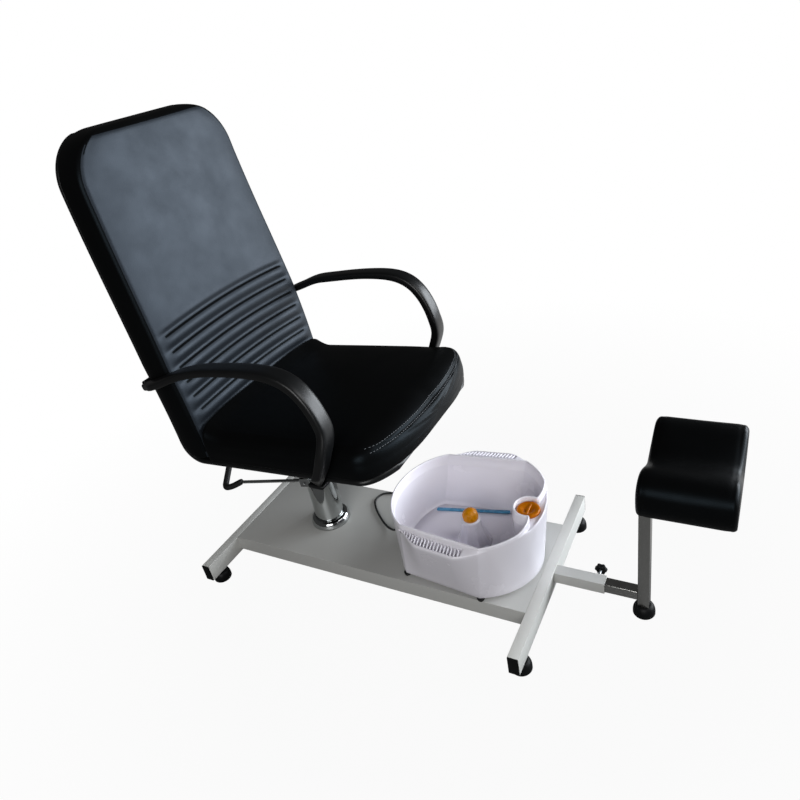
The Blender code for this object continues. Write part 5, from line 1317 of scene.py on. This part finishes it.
class CHAIR_OT_column(bpy.types.Operator):
    """Pump cylinder with its foot ring, and the piston"""
    bl_idname = "chair.column"
    bl_label = "Lift column"

    def execute(self, context):
        at, wide, tall = stand("pump_cylinder", COLUMN_AXIS)
        floor = tall - MOUTH_DEPTH
        barrel = [(0.0, 0.0), (wide, 0.0), (wide, tall - MOUTH_CHAMFER), (wide - MOUTH_CHAMFER, tall),
                  (MOUTH_R, tall), (MOUTH_R, floor), (0.0, floor)]
        chromed("pump_barrel", turned(barrel, at, segments=96), "pump_cylinder", sizes().edge)
        _, ring, tall = stand("pump_flange")
        inner = wide + GAP
        lip = inner + COLLAR_LIP
        bend = np.linspace(0.0, math.pi / 2, 12)
        skirt = np.stack([lip + (ring - lip) * np.sin(bend),
                          COLLAR_FOOT + (tall - COLLAR_FOOT) * np.cos(bend)], -1)
        collar = np.vstack([[(inner, 0.0), (inner, tall)], skirt, [(ring, 0.0), (inner, 0.0)]])
        chromed("pump_collar", turned(collar, at, segments=96), "pump_flange")
        at, _, tall = stand("lift_piston", COLUMN_AXIS)
        neck = tall - SPIGOT_LEN
        rod = [(0.0, 0.0), (PISTON_R, 0.0), (PISTON_R, PISTON_LEN), (PISTON_ROD_R, PISTON_LEN),
               (PISTON_ROD_R, neck), (SPIGOT_R, neck), (SPIGOT_R, tall), (0.0, tall)]
        chromed("piston_rod", turned(rod, at, segments=80), "lift_piston", PISTON_EDGE)
        return {"FINISHED"}


class CHAIR_OT_lever(bpy.types.Operator):
    """Pump lever: rod with an eye, and a bent grip"""
    bl_idname = "chair.lever"
    bl_label = "Pump lever"

    def execute(self, context):
        joint = next(joint for joint in frame["joints"] if joint["name"] == "pump_lever")
        pivot = np.array(joint["pos_m"])
        across = np.array(joint["axis"])
        heading = np.array([-across[1], across[0], 0.0])
        up = np.array([0.0, 0.0, 1.0])
        path = np.linspace(pivot + ROD_ROOT * heading, pivot + LEVER_ROD * heading, 24)
        rod = rounded_bar(path, oval(ROD_WIDTH, ROD_WIDTH, count=24), across, ROD_END)
        turn = np.stack([up, heading, across], -1)
        brim = EYE_OUT - EYE_EDGE
        face = EYE_HALF - EYE_EDGE
        eye = [(EYE_IN, -EYE_HALF), (brim, -EYE_HALF), (EYE_OUT, -face), (EYE_OUT, face), (brim, EYE_HALF),
               (EYE_IN, EYE_HALF), (EYE_IN, -EYE_HALF)]
        replaced("lever_bar", [rod, turned(eye, pivot, turn, 48)], "chrome_plate", "lever_rod")
        bend = LEVER_ROD + GRIP_RUN
        low = -GRIP_DIP
        lead = LEVER_ROD + GRIP_LEAD
        knots = [(LEVER_ROD + GAP, 0.0, 0.0), (lead, 0.0, 0.0), (lead + 0.009, 0.0, 0.24 * low),
                 (lead + 0.027, 0.0, 0.70 * low), (bend - 0.0135, 0.0, 0.96 * low),
                 (bend - 0.005, 0.002, low), (bend - 0.001, 0.008, 0.87 * low), (bend, 0.016, 0.63 * low),
                 (bend, 0.016 + PEDAL_SIDE, 0.63 * low + PEDAL_RISE)]
        line = through(knots, 90)
        path = pivot + line[:, :1] * heading + line[:, 1:2] * across + line[:, 2:] * up
        square = up - 0.3 * heading
        grip = rounded_bar(path, oval(GRIP_WIDTH, GRIP_WIDTH, count=36), square, GRIP_END)
        replaced("lever_sleeve", [grip], "moulded_rubber", "lever_grip")
        eased("lever_bracket", "chrome_plate", BRACKET_EDGE)
        dress(["lever_pin"], "zinc_plate")
        return {"FINISHED"}


class CHAIR_OT_slide(bpy.types.Operator):
    """Calf rest's slide, post, plates and clamp knob"""
    bl_idname = "chair.slide"
    bl_label = "Calf rest slide"

    def execute(self, context):
        edge = sizes().edge
        for node in ("slide_tube", "footrest_post"):
            eased(node, "drawn_steel", edge)
        eased("footrest_plate", "zinc_plate", PLATE_EDGE)
        eased("footrest_board", "birch_plywood", BOARD_EDGE)
        dress(["pad_screw_front", "pad_screw_rear", "clamp_screw"], "zinc_plate")
        low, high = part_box("clamp_knob")
        centre = middle("clamp_knob")
        length = high[0] - low[0]
        dome = np.linspace(0.0, math.pi / 2, 10)
        wide = 0.5 * (high[2] - low[2]) / (1.0 + KNOB_WAVE)
        brow = np.stack([wide - KNOB_DOME * (1.0 - np.cos(dome)),
                         length - KNOB_DOME * (1.0 - np.sin(dome))], -1)
        dish = length - KNOB_DISH
        profile = np.vstack([[(0.0, 0.0), (0.75 * wide, 0.0), (0.97 * wide, 0.0015)], brow,
                             [(0.42 * wide, dish), (0.0, dish)]])
        lobes = turned(profile, (low[0], centre[1], centre[2]), TO_SIDE, 96,
                       lambda angle, height: 1.0 + KNOB_WAVE * np.cos(KNOB_LOBES * angle) * (height > 0.0005))
        replaced("clamp_star", [lobes], "dull_polypropylene", "clamp_knob")
        return {"FINISHED"}


def base_share(z):
    """1 at the bath's base, 0 from the shoulder up."""
    return float(np.clip((TUB_SHOULDER - z) / (TUB_SHOULDER - TUB_Z), 0.0, 1.0))


def end_arc(half, bow, count):
    """A bowed end: an ellipse's arc from the corner's angle, stretched to a half width and a rise."""
    angle = np.linspace(TUB_CORNER, math.pi - TUB_CORNER, count, endpoint=False)
    low = math.sin(TUB_CORNER)
    return half * np.cos(angle) / math.cos(TUB_CORNER), bow * (np.sin(angle) - low) / (1 - low)


def ledge_swell(y, reach):
    """How far a ledge stands out: smooth ramps at both ends of a level stretch."""
    rear = TUB_REAR_Y - LEDGE_REAR * TUB_REAR_BOW
    front = TUB_FRONT_Y + LEDGE_FRONT * TUB_FRONT_BOW
    share = (rear - y) / (rear - front)
    return reach * smoothstep(share / LEDGE_RAMP) * smoothstep((1.0 - share) / LEDGE_RAMP)


def bath_plan(z, inward=0.0, reach=0.0):
    """Plan of the bath at a height, about its own axis: bowed rear, flared side, bowed front, flared side."""
    low = base_share(z)
    rear_y = TUB_REAR_Y - TUB_REAR_BOW + TUB_BASE_SHIFT * low
    front_y = TUB_FRONT_Y + TUB_FRONT_BOW + TUB_BASE_SHIFT * low
    rear_half = TUB_REAR_HALF - TUB_DRAFT * low - inward
    front_half = TUB_FRONT_HALF - TUB_DRAFT * low - inward
    rear_bow = TUB_REAR_Y - TUB_REAR_DRAFT * low - inward - rear_y
    front_bow = front_y - TUB_FRONT_Y - TUB_FRONT_DRAFT * low - inward
    rear_x, rear_rise = end_arc(rear_half, rear_bow, REAR_STEPS)
    front_x, front_rise = end_arc(front_half, front_bow, FRONT_STEPS)
    t = np.linspace(0.0, 1.0, SIDE_STEPS, endpoint=False)
    side_x = rear_half + (front_half - rear_half) * t
    side_y = rear_y + (front_y - rear_y) * t
    x = np.concatenate([rear_x, -side_x, -front_x, front_half + (rear_half - front_half) * t])
    y = np.concatenate([rear_y + rear_rise, side_y, front_y - front_rise, front_y + (rear_y - front_y) * t])
    return np.stack([x + np.sign(x) * ledge_swell(y, reach), y], -1)


def with_nose(plan, radius, reach):
    """The plan with its front drawn in round the dial: a round nose, and S-bends that run out into the wall.

    The nose is an arc of the radius on both sides, and a cubic Hermite curve leads on from its end.
    """
    x, y = plan[:, 0], plan[:, 1]
    near = (np.abs(x) < reach) & (y < TUB_FRONT_Y + 0.6 * TUB_FRONT_BOW)
    share = np.abs(x) / reach
    sign = np.sign(x + 1e-12)
    angle = np.clip(share / NOSE_SHARE, 0.0, 1.0) * NOSE_TURN
    nose = np.stack([sign * radius * np.sin(angle), DIAL_Y + radius * np.cos(angle)], -1)
    s = np.clip((share - NOSE_SHARE) / (1.0 - NOSE_SHARE), 0.0, 1.0)[:, None]
    start = np.array([radius * math.sin(NOSE_TURN), DIAL_Y + radius * math.cos(NOSE_TURN)])
    ends = plan[near & (x > 0)]
    outer = ends[np.argmax(ends[:, 0])]
    inner = ends[np.argmin(np.abs(ends[:, 0] - outer[0] + 0.012))]
    slope = (outer - inner) / np.linalg.norm(outer - inner) * NOSE_MEET
    leave = np.array([math.cos(NOSE_TURN), -math.sin(NOSE_TURN)]) * NOSE_LEAVE
    bend = ((2 * s ** 3 - 3 * s ** 2 + 1) * start + (s ** 3 - 2 * s ** 2 + s) * leave
            + (3 * s ** 2 - 2 * s ** 3) * outer + (s ** 3 - s ** 2) * slope)
    bend = np.stack([sign * bend[:, 0], bend[:, 1]], -1)
    drawn = np.where(s > 0.0, bend, nose)
    return np.where(near[:, None], drawn, plan)


def pushed(plan, distance):
    """A closed plan moved inwards along its own normals."""
    along = np.roll(plan, -2, axis=0) - np.roll(plan, 2, axis=0)
    along /= np.linalg.norm(along, axis=1, keepdims=True)
    return plan + distance * np.stack([-along[:, 1], along[:, 0]], -1)


def at_height(plan, z):
    """A plan as points at a height, which may vary round it."""
    return np.stack([TUB_X + plan[:, 0], plan[:, 1], np.broadcast_to(z, len(plan))], -1)


def outer_rings():
    """Sections of the bath from its underside up the wall, its shoulder, and 1 where that is the front."""
    recess = bath_plan(TUB_Z, 2 * TUB_WALL)
    rings = [at_height(recess, TUB_Z + BASE_RECESS), at_height(recess, TUB_Z),
             at_height(bath_plan(TUB_Z, 1.2 * BASE_EDGE), TUB_Z),
             at_height(bath_plan(TUB_Z, 0.35 * BASE_EDGE), TUB_Z + 0.35 * BASE_EDGE)]
    foot = at_height(bath_plan(TUB_Z), TUB_Z)
    plan = bath_plan(TUB_SHOULDER, 0.0, TUB_LEDGE)
    front = smoothstep((LIP_HALF - np.abs(plan[:, 0])) / LIP_FADE) * (plan[:, 1] < TUB_FRONT_Y + LIP_DEPTH)
    shoulder = at_height(plan, TUB_SHOULDER + (LIP_Z - TUB_SHOULDER) * front)
    rings += [foot + (shoulder - foot) * share for share in (0.015, 0.10, 0.30, 0.50, 0.70, 0.86, 0.93)]
    return rings, shoulder, front


def ledge_rings(below, shoulder, front, rim_plan):
    """Sections over the shoulder: a ledge sunk between its ribs at the sides, in front a lip and a shelf."""
    flat = front[:, None]
    lip = at_height(pushed(bath_plan(TUB_TOP), LIP_IN), LIP_Z)
    lip_low = at_height(pushed(bath_plan(TUB_TOP), LIP_FOOT_IN), SHELF_Z)
    rim_foot = at_height(rim_plan, TUB_TOP - RIM_DROP + (SHELF_Z - TUB_TOP + RIM_DROP) * front)
    ribbed = smoothstep((TUB_REAR_Y - RIB_FIRST + 0.008 - shoulder[:, 1]) / 0.006)
    ribbed *= smoothstep((shoulder[:, 1] - TUB_REAR_Y + RIB_LAST + 0.007) / 0.004) * (1.0 - front)
    sunk = np.array([0.0, 0.0, 1.0]) * (sizes().rib_depth * ribbed)[:, None]
    beyond = shoulder + 0.12 * (rim_foot - shoulder) * (1 - flat) + 0.35 * (lip - shoulder) * flat
    rings = [bezier(t, below, shoulder, beyond) for t in (0.25, 0.5, 0.75, 1.0)]
    for share, drop, well in LEDGE_STEPS:
        side = shoulder + share * (rim_foot - shoulder) - drop * sunk
        shelf = lip + min(well, 1.0) * (lip_low - lip) + max(well - 1.0, 0.0) * (rim_foot - lip_low)
        rings.append(side * (1 - flat) + shelf * flat)
    return rings


def inner_rings(rim_plan):
    """Sections over the round rim, down the inside with its step, and through a cove to below the floor."""
    rim = sizes().rim
    inner_plan = pushed(rim_plan, rim)
    over = TUB_TOP - rim / 2
    rings = [at_height(rim_plan, over - 0.001)]
    for angle in np.linspace(0.0, math.pi, 9):
        across = 0.5 * (1 - math.cos(angle))
        rings.append(at_height(rim_plan + (inner_plan - rim_plan) * across, over + rim / 2 * math.sin(angle)))
    low = TUB_FLOOR_Z + TUB_COVE
    nose = NOSE_R + rim + NOSE_WALL
    wall_ring = at_height(with_nose(bath_plan(low, TUB_INSET), nose, NOSE_REACH), low)
    top_ring = at_height(inner_plan, over)
    for share, step in WALL_STEPS:
        ring = top_ring + (wall_ring - top_ring) * share
        rings.append(np.concatenate([pushed(ring[:, :2], WALL_STEP * step), ring[:, 2:]], -1))
    for angle in np.linspace(0.0, math.pi / 2, 6)[1:]:
        run = TUB_COVE * (1 - math.cos(angle))
        plan = with_nose(bath_plan(low, TUB_INSET + run), nose + run, NOSE_REACH + 1.2 * run)
        rings.append(at_height(plan, low - 1.06 * TUB_COVE * math.sin(angle)))
    return rings


def bath_floor():
    """The bath's floor: a thin slab in the plan of the wall's foot, without the nose."""
    edge = at_height(bath_plan(TUB_FLOOR_Z, TUB_INSET + FLOOR_TUCK), TUB_FLOOR_Z)
    centre = edge.mean(axis=0)
    under = (0.0, 0.0, FLOOR_T)
    top = [centre + (edge - centre) * share for share in (0.0, 0.25, 0.5, 0.75, 1.0)]
    return np.stack(top + [edge - under, centre - under + 0.0 * edge]), False, True


def ledge_ribs(sign):
    """Bars across a ledge, slanted a little to the front, that stand in its sunk part up to its level."""
    bars = []
    share = np.linspace(0.0, 1.0, 9)
    section = oval(sizes().rib_width, sizes().rib_depth + 0.001, 4.0, 16)
    for y in np.linspace(TUB_REAR_Y - RIB_FIRST, TUB_REAR_Y - RIB_LAST, sizes().ribs):
        line_y = y - RIB_SLANT * share
        reach = ledge_swell(line_y, TUB_LEDGE)
        out = reach * (RIB_FROM + RIB_SPAN * share)
        rear = TUB_REAR_Y - TUB_REAR_BOW
        t = (rear - line_y) / (rear - TUB_FRONT_Y - TUB_FRONT_BOW)
        half = TUB_REAR_HALF + (TUB_FRONT_HALF - TUB_REAR_HALF) * t + out
        level = TUB_TOP - RIM_DROP - (TUB_LEDGE_DROP - RIM_DROP) * out / reach
        path = np.stack([TUB_X + sign * half, line_y, level - 0.5 * sizes().rib_depth], -1)
        bars.append(carried(path, section, (0.0, 1.0, 0.0), 0.0005))
    return bars


class CHAIR_OT_bath(bpy.types.Operator):
    """Foot bath with ribbed ledges, a rim that bends round the dial, and rubber feet"""
    bl_idname = "chair.bath"
    bl_label = "Foot bath"

    def execute(self, context):
        rings, shoulder, front = outer_rings()
        rim_plan = with_nose(bath_plan(TUB_TOP), NOSE_R, NOSE_REACH)
        rings += ledge_rings(rings[-1], shoulder, front, rim_plan) + inner_rings(rim_plan)
        sheets = [capped(np.stack(rings)), bath_floor()]
        replaced("bath_moulding", sheets, "glossy_abs", "tub")
        ribs = make_piece("bath_ledge_ribs", ledge_ribs(-1.0) + ledge_ribs(1.0), "glossy_abs")
        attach(ribs, "basin")
        dress(["tub_bottom_cover"], "glossy_abs")
        dress(["rotary_switch", "air_pump"], "moulded_polypropylene")
        for k in range(1, 5):
            eased(f"tub_foot_{k}", "moulded_rubber", TUB_FOOT_EDGE)
        return {"FINISHED"}


class CHAIR_OT_fittings(bpy.types.Operator):
    """Dial, pedestal, massage cap and bubble strip"""
    bl_idname = "chair.fittings"
    bl_label = "Bath fittings"

    def execute(self, context):
        at, radius, top = stand("control_dial")
        root = top - DIAL_H
        dish = np.linspace(0.0, 1.0, 16)
        bowl = np.stack([0.78 * radius * dish, top - DIAL_DISH * (1 - smoothstep(dish))], -1)
        skirt = np.vstack([bowl, [(0.90 * radius, top), (0.965 * radius, top - 0.0008), (radius, top - 0.003),
                                  (radius, root), (DIAL_SPINDLE, root), (DIAL_SPINDLE, 0.0), (0.0, 0.0)]])
        knurl = turned(skirt, at, segments=144,
                       wave=lambda angle, height: 1.0 - NOTCH_DEPTH * (np.cos(DIAL_NOTCHES * angle) > 0.2)
                       * (height < top - 0.002) * (height > root - 0.001))
        level = at[2] + top - BAR_SUNK
        path = np.linspace((at[0] - BAR_HALF, at[1], level), (at[0] + BAR_HALF, at[1], level), 24)
        bar = rounded_bar(path, oval(BAR_W, BAR_H, 3.0, 24), LENGTHWAYS, BAR_END)
        replaced("dial_knob", [knurl, bar], "orange_acetal", "control_dial")

        at, wide, tall = stand("massage_pedestal")
        neck = tall - PEG_LEN
        rise = np.linspace(0.0, 1.0, 26)
        cone = CONE_TOP + (wide - CONE_TOP) * (1 - rise) ** CONE_POWER
        profile = np.vstack([[(0.0, 0.0)], np.stack([cone, rise * neck], -1),
                             [(PEG_R, neck), (PEG_R, tall), (0.0, tall)]])
        fins = turned(profile, at, segments=160,
                      wave=lambda angle, height: 1.0
                      - FLUTE_DEPTH * (1 - np.abs(np.cos(CONE_FLUTES * angle)) ** 6)
                      * smoothstep(height / 0.006) * smoothstep((neck - height) / 0.020))
        replaced("pedestal_cone", [fins], "glossy_abs", "massage_pedestal")

        at, wide, tall = stand("massage_cap")
        arch = np.linspace(math.pi / 2, 0.0, 28)
        dome = np.stack([wide * np.cos(arch), tall * (0.35 + 0.65 * np.sin(arch))], -1)
        hole = PEG_R + GAP
        deep = PEG_LEN + GAP
        profile = np.vstack([dome, [(0.97 * wide, 0.15 * tall), (0.92 * wide, 0.0), (hole, 0.0), (hole, deep),
                                    (0.0, deep)]])
        nubs = turned(profile, at, segments=120,
                      wave=lambda angle, height: 1.0 - NUB_DEPTH * (0.5 - 0.5 * np.cos(CAP_NUBS * angle))
                      * np.abs(np.sin(height / tall * 3 * math.pi)) * (height > 0.2 * tall))
        replaced("cap_dome", [nubs], "yellow_vinyl", "massage_cap")

        centre = middle("bubble_strip")
        way = np.array([-math.sin(STRIP_TURN), math.cos(STRIP_TURN), 0.0])
        path = centre + STRIP_LEN * np.linspace(-0.5, 0.5, 240)[:, None] * way
        bar, rows, cols = rounded_bar(path, oval(STRIP_W, STRIP_H, 3.4, 40), SIDEWAYS, STRIP_END)
        along = (np.mod((bar - centre) @ way / HOLE_STEP, 1.0) - 0.5) * HOLE_STEP
        across = (bar - centre) @ np.array([math.cos(STRIP_TURN), math.sin(STRIP_TURN), 0.0])
        hole = np.exp(-(along / HOLE_LEN) ** 2 - (across / HOLE_WIDTH) ** 2)
        bar[:, :, 2] -= HOLE_DEPTH * hole * (bar[:, :, 2] > centre[2])
        replaced("air_strip", [(bar, rows, cols)], "blue_polystyrene", "bubble_strip")
        return {"FINISHED"}


def maths(tree, operation, first, second):
    """Output of a maths node on an output and another output or a number."""
    if isinstance(second, float):
        node = add_node(tree, "ShaderNodeMath", {"operation": operation}, {1: second}, {0: first})
    else:
        node = add_node(tree, "ShaderNodeMath", {"operation": operation}, links={0: first, 1: second})
    return node.outputs[0]


def share_of_white(tree, white, mirrored):
    """How white the surroundings are: one share as seen directly or through something, one in mirrors."""
    rays = add_node(tree, "ShaderNodeLightPath").outputs
    seen = maths(tree, "MAXIMUM", rays["Is Camera Ray"], rays["Is Transmission Ray"])
    return maths(tree, "MAXIMUM", maths(tree, "MULTIPLY", seen, white),
                 maths(tree, "MULTIPLY", rays["Is Glossy Ray"], mirrored))


class CHAIR_OT_stage(bpy.types.Operator):
    """Pale floor, white surroundings and soft light"""
    bl_idname = "chair.stage"
    bl_label = "Stage"

    def execute(self, context):
        scene = context.scene
        scene.view_settings.view_transform = "Standard"
        far = np.linspace(-FLOOR_HALF, FLOOR_HALF, 5)
        grid = np.stack(np.meshgrid(far, far, indexing="ij") + [np.full((5, 5), -FLOOR_DROP)], -1)
        floor = make_piece("studio_floor", [(grid, False, False)], "powder_coat")
        paper = bpy.data.materials.new("matt_paper")
        paper.use_nodes = True
        tree = paper.node_tree
        tree.nodes.remove(tree.nodes["Principled BSDF"])
        place = add_node(tree, "ShaderNodeTexCoord").outputs["Object"]
        # Painted reflection: round its middle the floor glows white to mirror rays, so that the back's panel shows
        # a sheen
        away = add_node(tree, "ShaderNodeVectorMath", {"operation": "DISTANCE"}, {1: PATCH_MIDDLE},
                        {0: place})
        steps = {"From Min": PATCH_NEAR, "From Max": PATCH_FAR, "To Min": MIRRORED_PATCH,
                 "To Max": MIRRORED_WHITE}
        patch = add_node(tree, "ShaderNodeMapRange", {"interpolation_type": "SMOOTHSTEP"}, steps,
                         {"Value": away.outputs["Value"]})
        out = add_node(tree, "ShaderNodeVectorMath", {"operation": "LENGTH"}, links={0: place})
        steps = {"From Min": FLOOR_NEAR, "From Max": FLOOR_FAR, "To Min": FLOOR_WHITE, "To Max": 1.0}
        fade = add_node(tree, "ShaderNodeMapRange", values=steps, links={"Value": out.outputs["Value"]})
        share = share_of_white(tree, fade.outputs["Result"], patch.outputs["Result"])
        matt = add_node(tree, "ShaderNodeBsdfDiffuse", values={"Color": (*finishes().backdrop, 1.0)})
        white = add_node(tree, "ShaderNodeEmission", values={"Color": (1.0, 1.0, 1.0, 1.0), "Strength": 1.0})
        ends = {0: share, 1: matt.outputs[0], 2: white.outputs[0]}
        blend = add_node(tree, "ShaderNodeMixShader", links=ends)
        tree.links.new(blend.outputs[0], tree.nodes["Material Output"].inputs["Surface"])
        floor.data.materials.clear()
        floor.data.materials.append(paper)

        world = bpy.data.worlds.new("studio")
        world.use_nodes = True
        scene.world = world
        tree = world.node_tree
        level = maths(tree, "MAXIMUM", share_of_white(tree, 1.0, MIRRORED_WHITE), ROOM_LIGHT)
        tree.links.new(level, tree.nodes["Background"].inputs["Strength"])
        tree.nodes["Background"].inputs["Color"].default_value = (1.0, 1.0, 1.0, 1.0)

        for name, at, aim, wide, tall, power, tint in LAMPS:
            data = bpy.data.lights.new(name, "AREA")
            data.shape = "RECTANGLE"
            data.size = wide
            data.size_y = tall
            data.energy = power
            data.color = finishes().window if tint else (1.0, 1.0, 1.0)
            lamp = bpy.data.objects.new(name, data)
            ahead = Vector(aim) - Vector(at)
            lamp.matrix_world = Matrix.Translation(at) @ ahead.to_track_quat("-Z", "Y").to_matrix().to_4x4()
            scene.collection.objects.link(lamp)
        return {"FINISHED"}


class CHAIR_PT_dressing(bpy.types.Panel):
    """Buttons for the chair's pieces"""
    bl_idname = "CHAIR_PT_dressing"
    bl_label = "Pedicure chair"
    bl_space_type = "VIEW_3D"
    bl_region_type = "UI"
    bl_category = "Chair"

    def draw(self, context):
        for group in (context.scene.chair_finishes, context.scene.chair_sizes):
            for key in group.__annotations__:
                self.layout.prop(group, key)
        for step in OPERATORS:
            self.layout.operator(step.bl_idname)


OPERATORS = (CHAIR_OT_camera, CHAIR_OT_cord, CHAIR_OT_seat, CHAIR_OT_back, CHAIR_OT_calf_pad, CHAIR_OT_shell,
             CHAIR_OT_arms, CHAIR_OT_base, CHAIR_OT_feet, CHAIR_OT_column, CHAIR_OT_lever, CHAIR_OT_slide,
             CHAIR_OT_bath, CHAIR_OT_fittings, CHAIR_OT_stage)
CLASSES = (ChairFinishes, ChairSizes) + OPERATORS + (CHAIR_PT_dressing,)


def register():
    """Add the classes and the scene's settings."""
    for item in CLASSES:
        bpy.utils.register_class(item)
    bpy.types.Scene.chair_finishes = PointerProperty(type=ChairFinishes)
    bpy.types.Scene.chair_sizes = PointerProperty(type=ChairSizes)


def unregister():
    """Take the classes and the settings away again."""
    del bpy.types.Scene.chair_sizes
    del bpy.types.Scene.chair_finishes
    for item in reversed(CLASSES):
        bpy.utils.unregister_class(item)


def main():
    """Make every piece in order."""
    register()
    for step in OPERATORS:
        group, name = step.bl_idname.split(".")
        getattr(getattr(bpy.ops, group), name)()


if __name__ == "__main__":
    main()
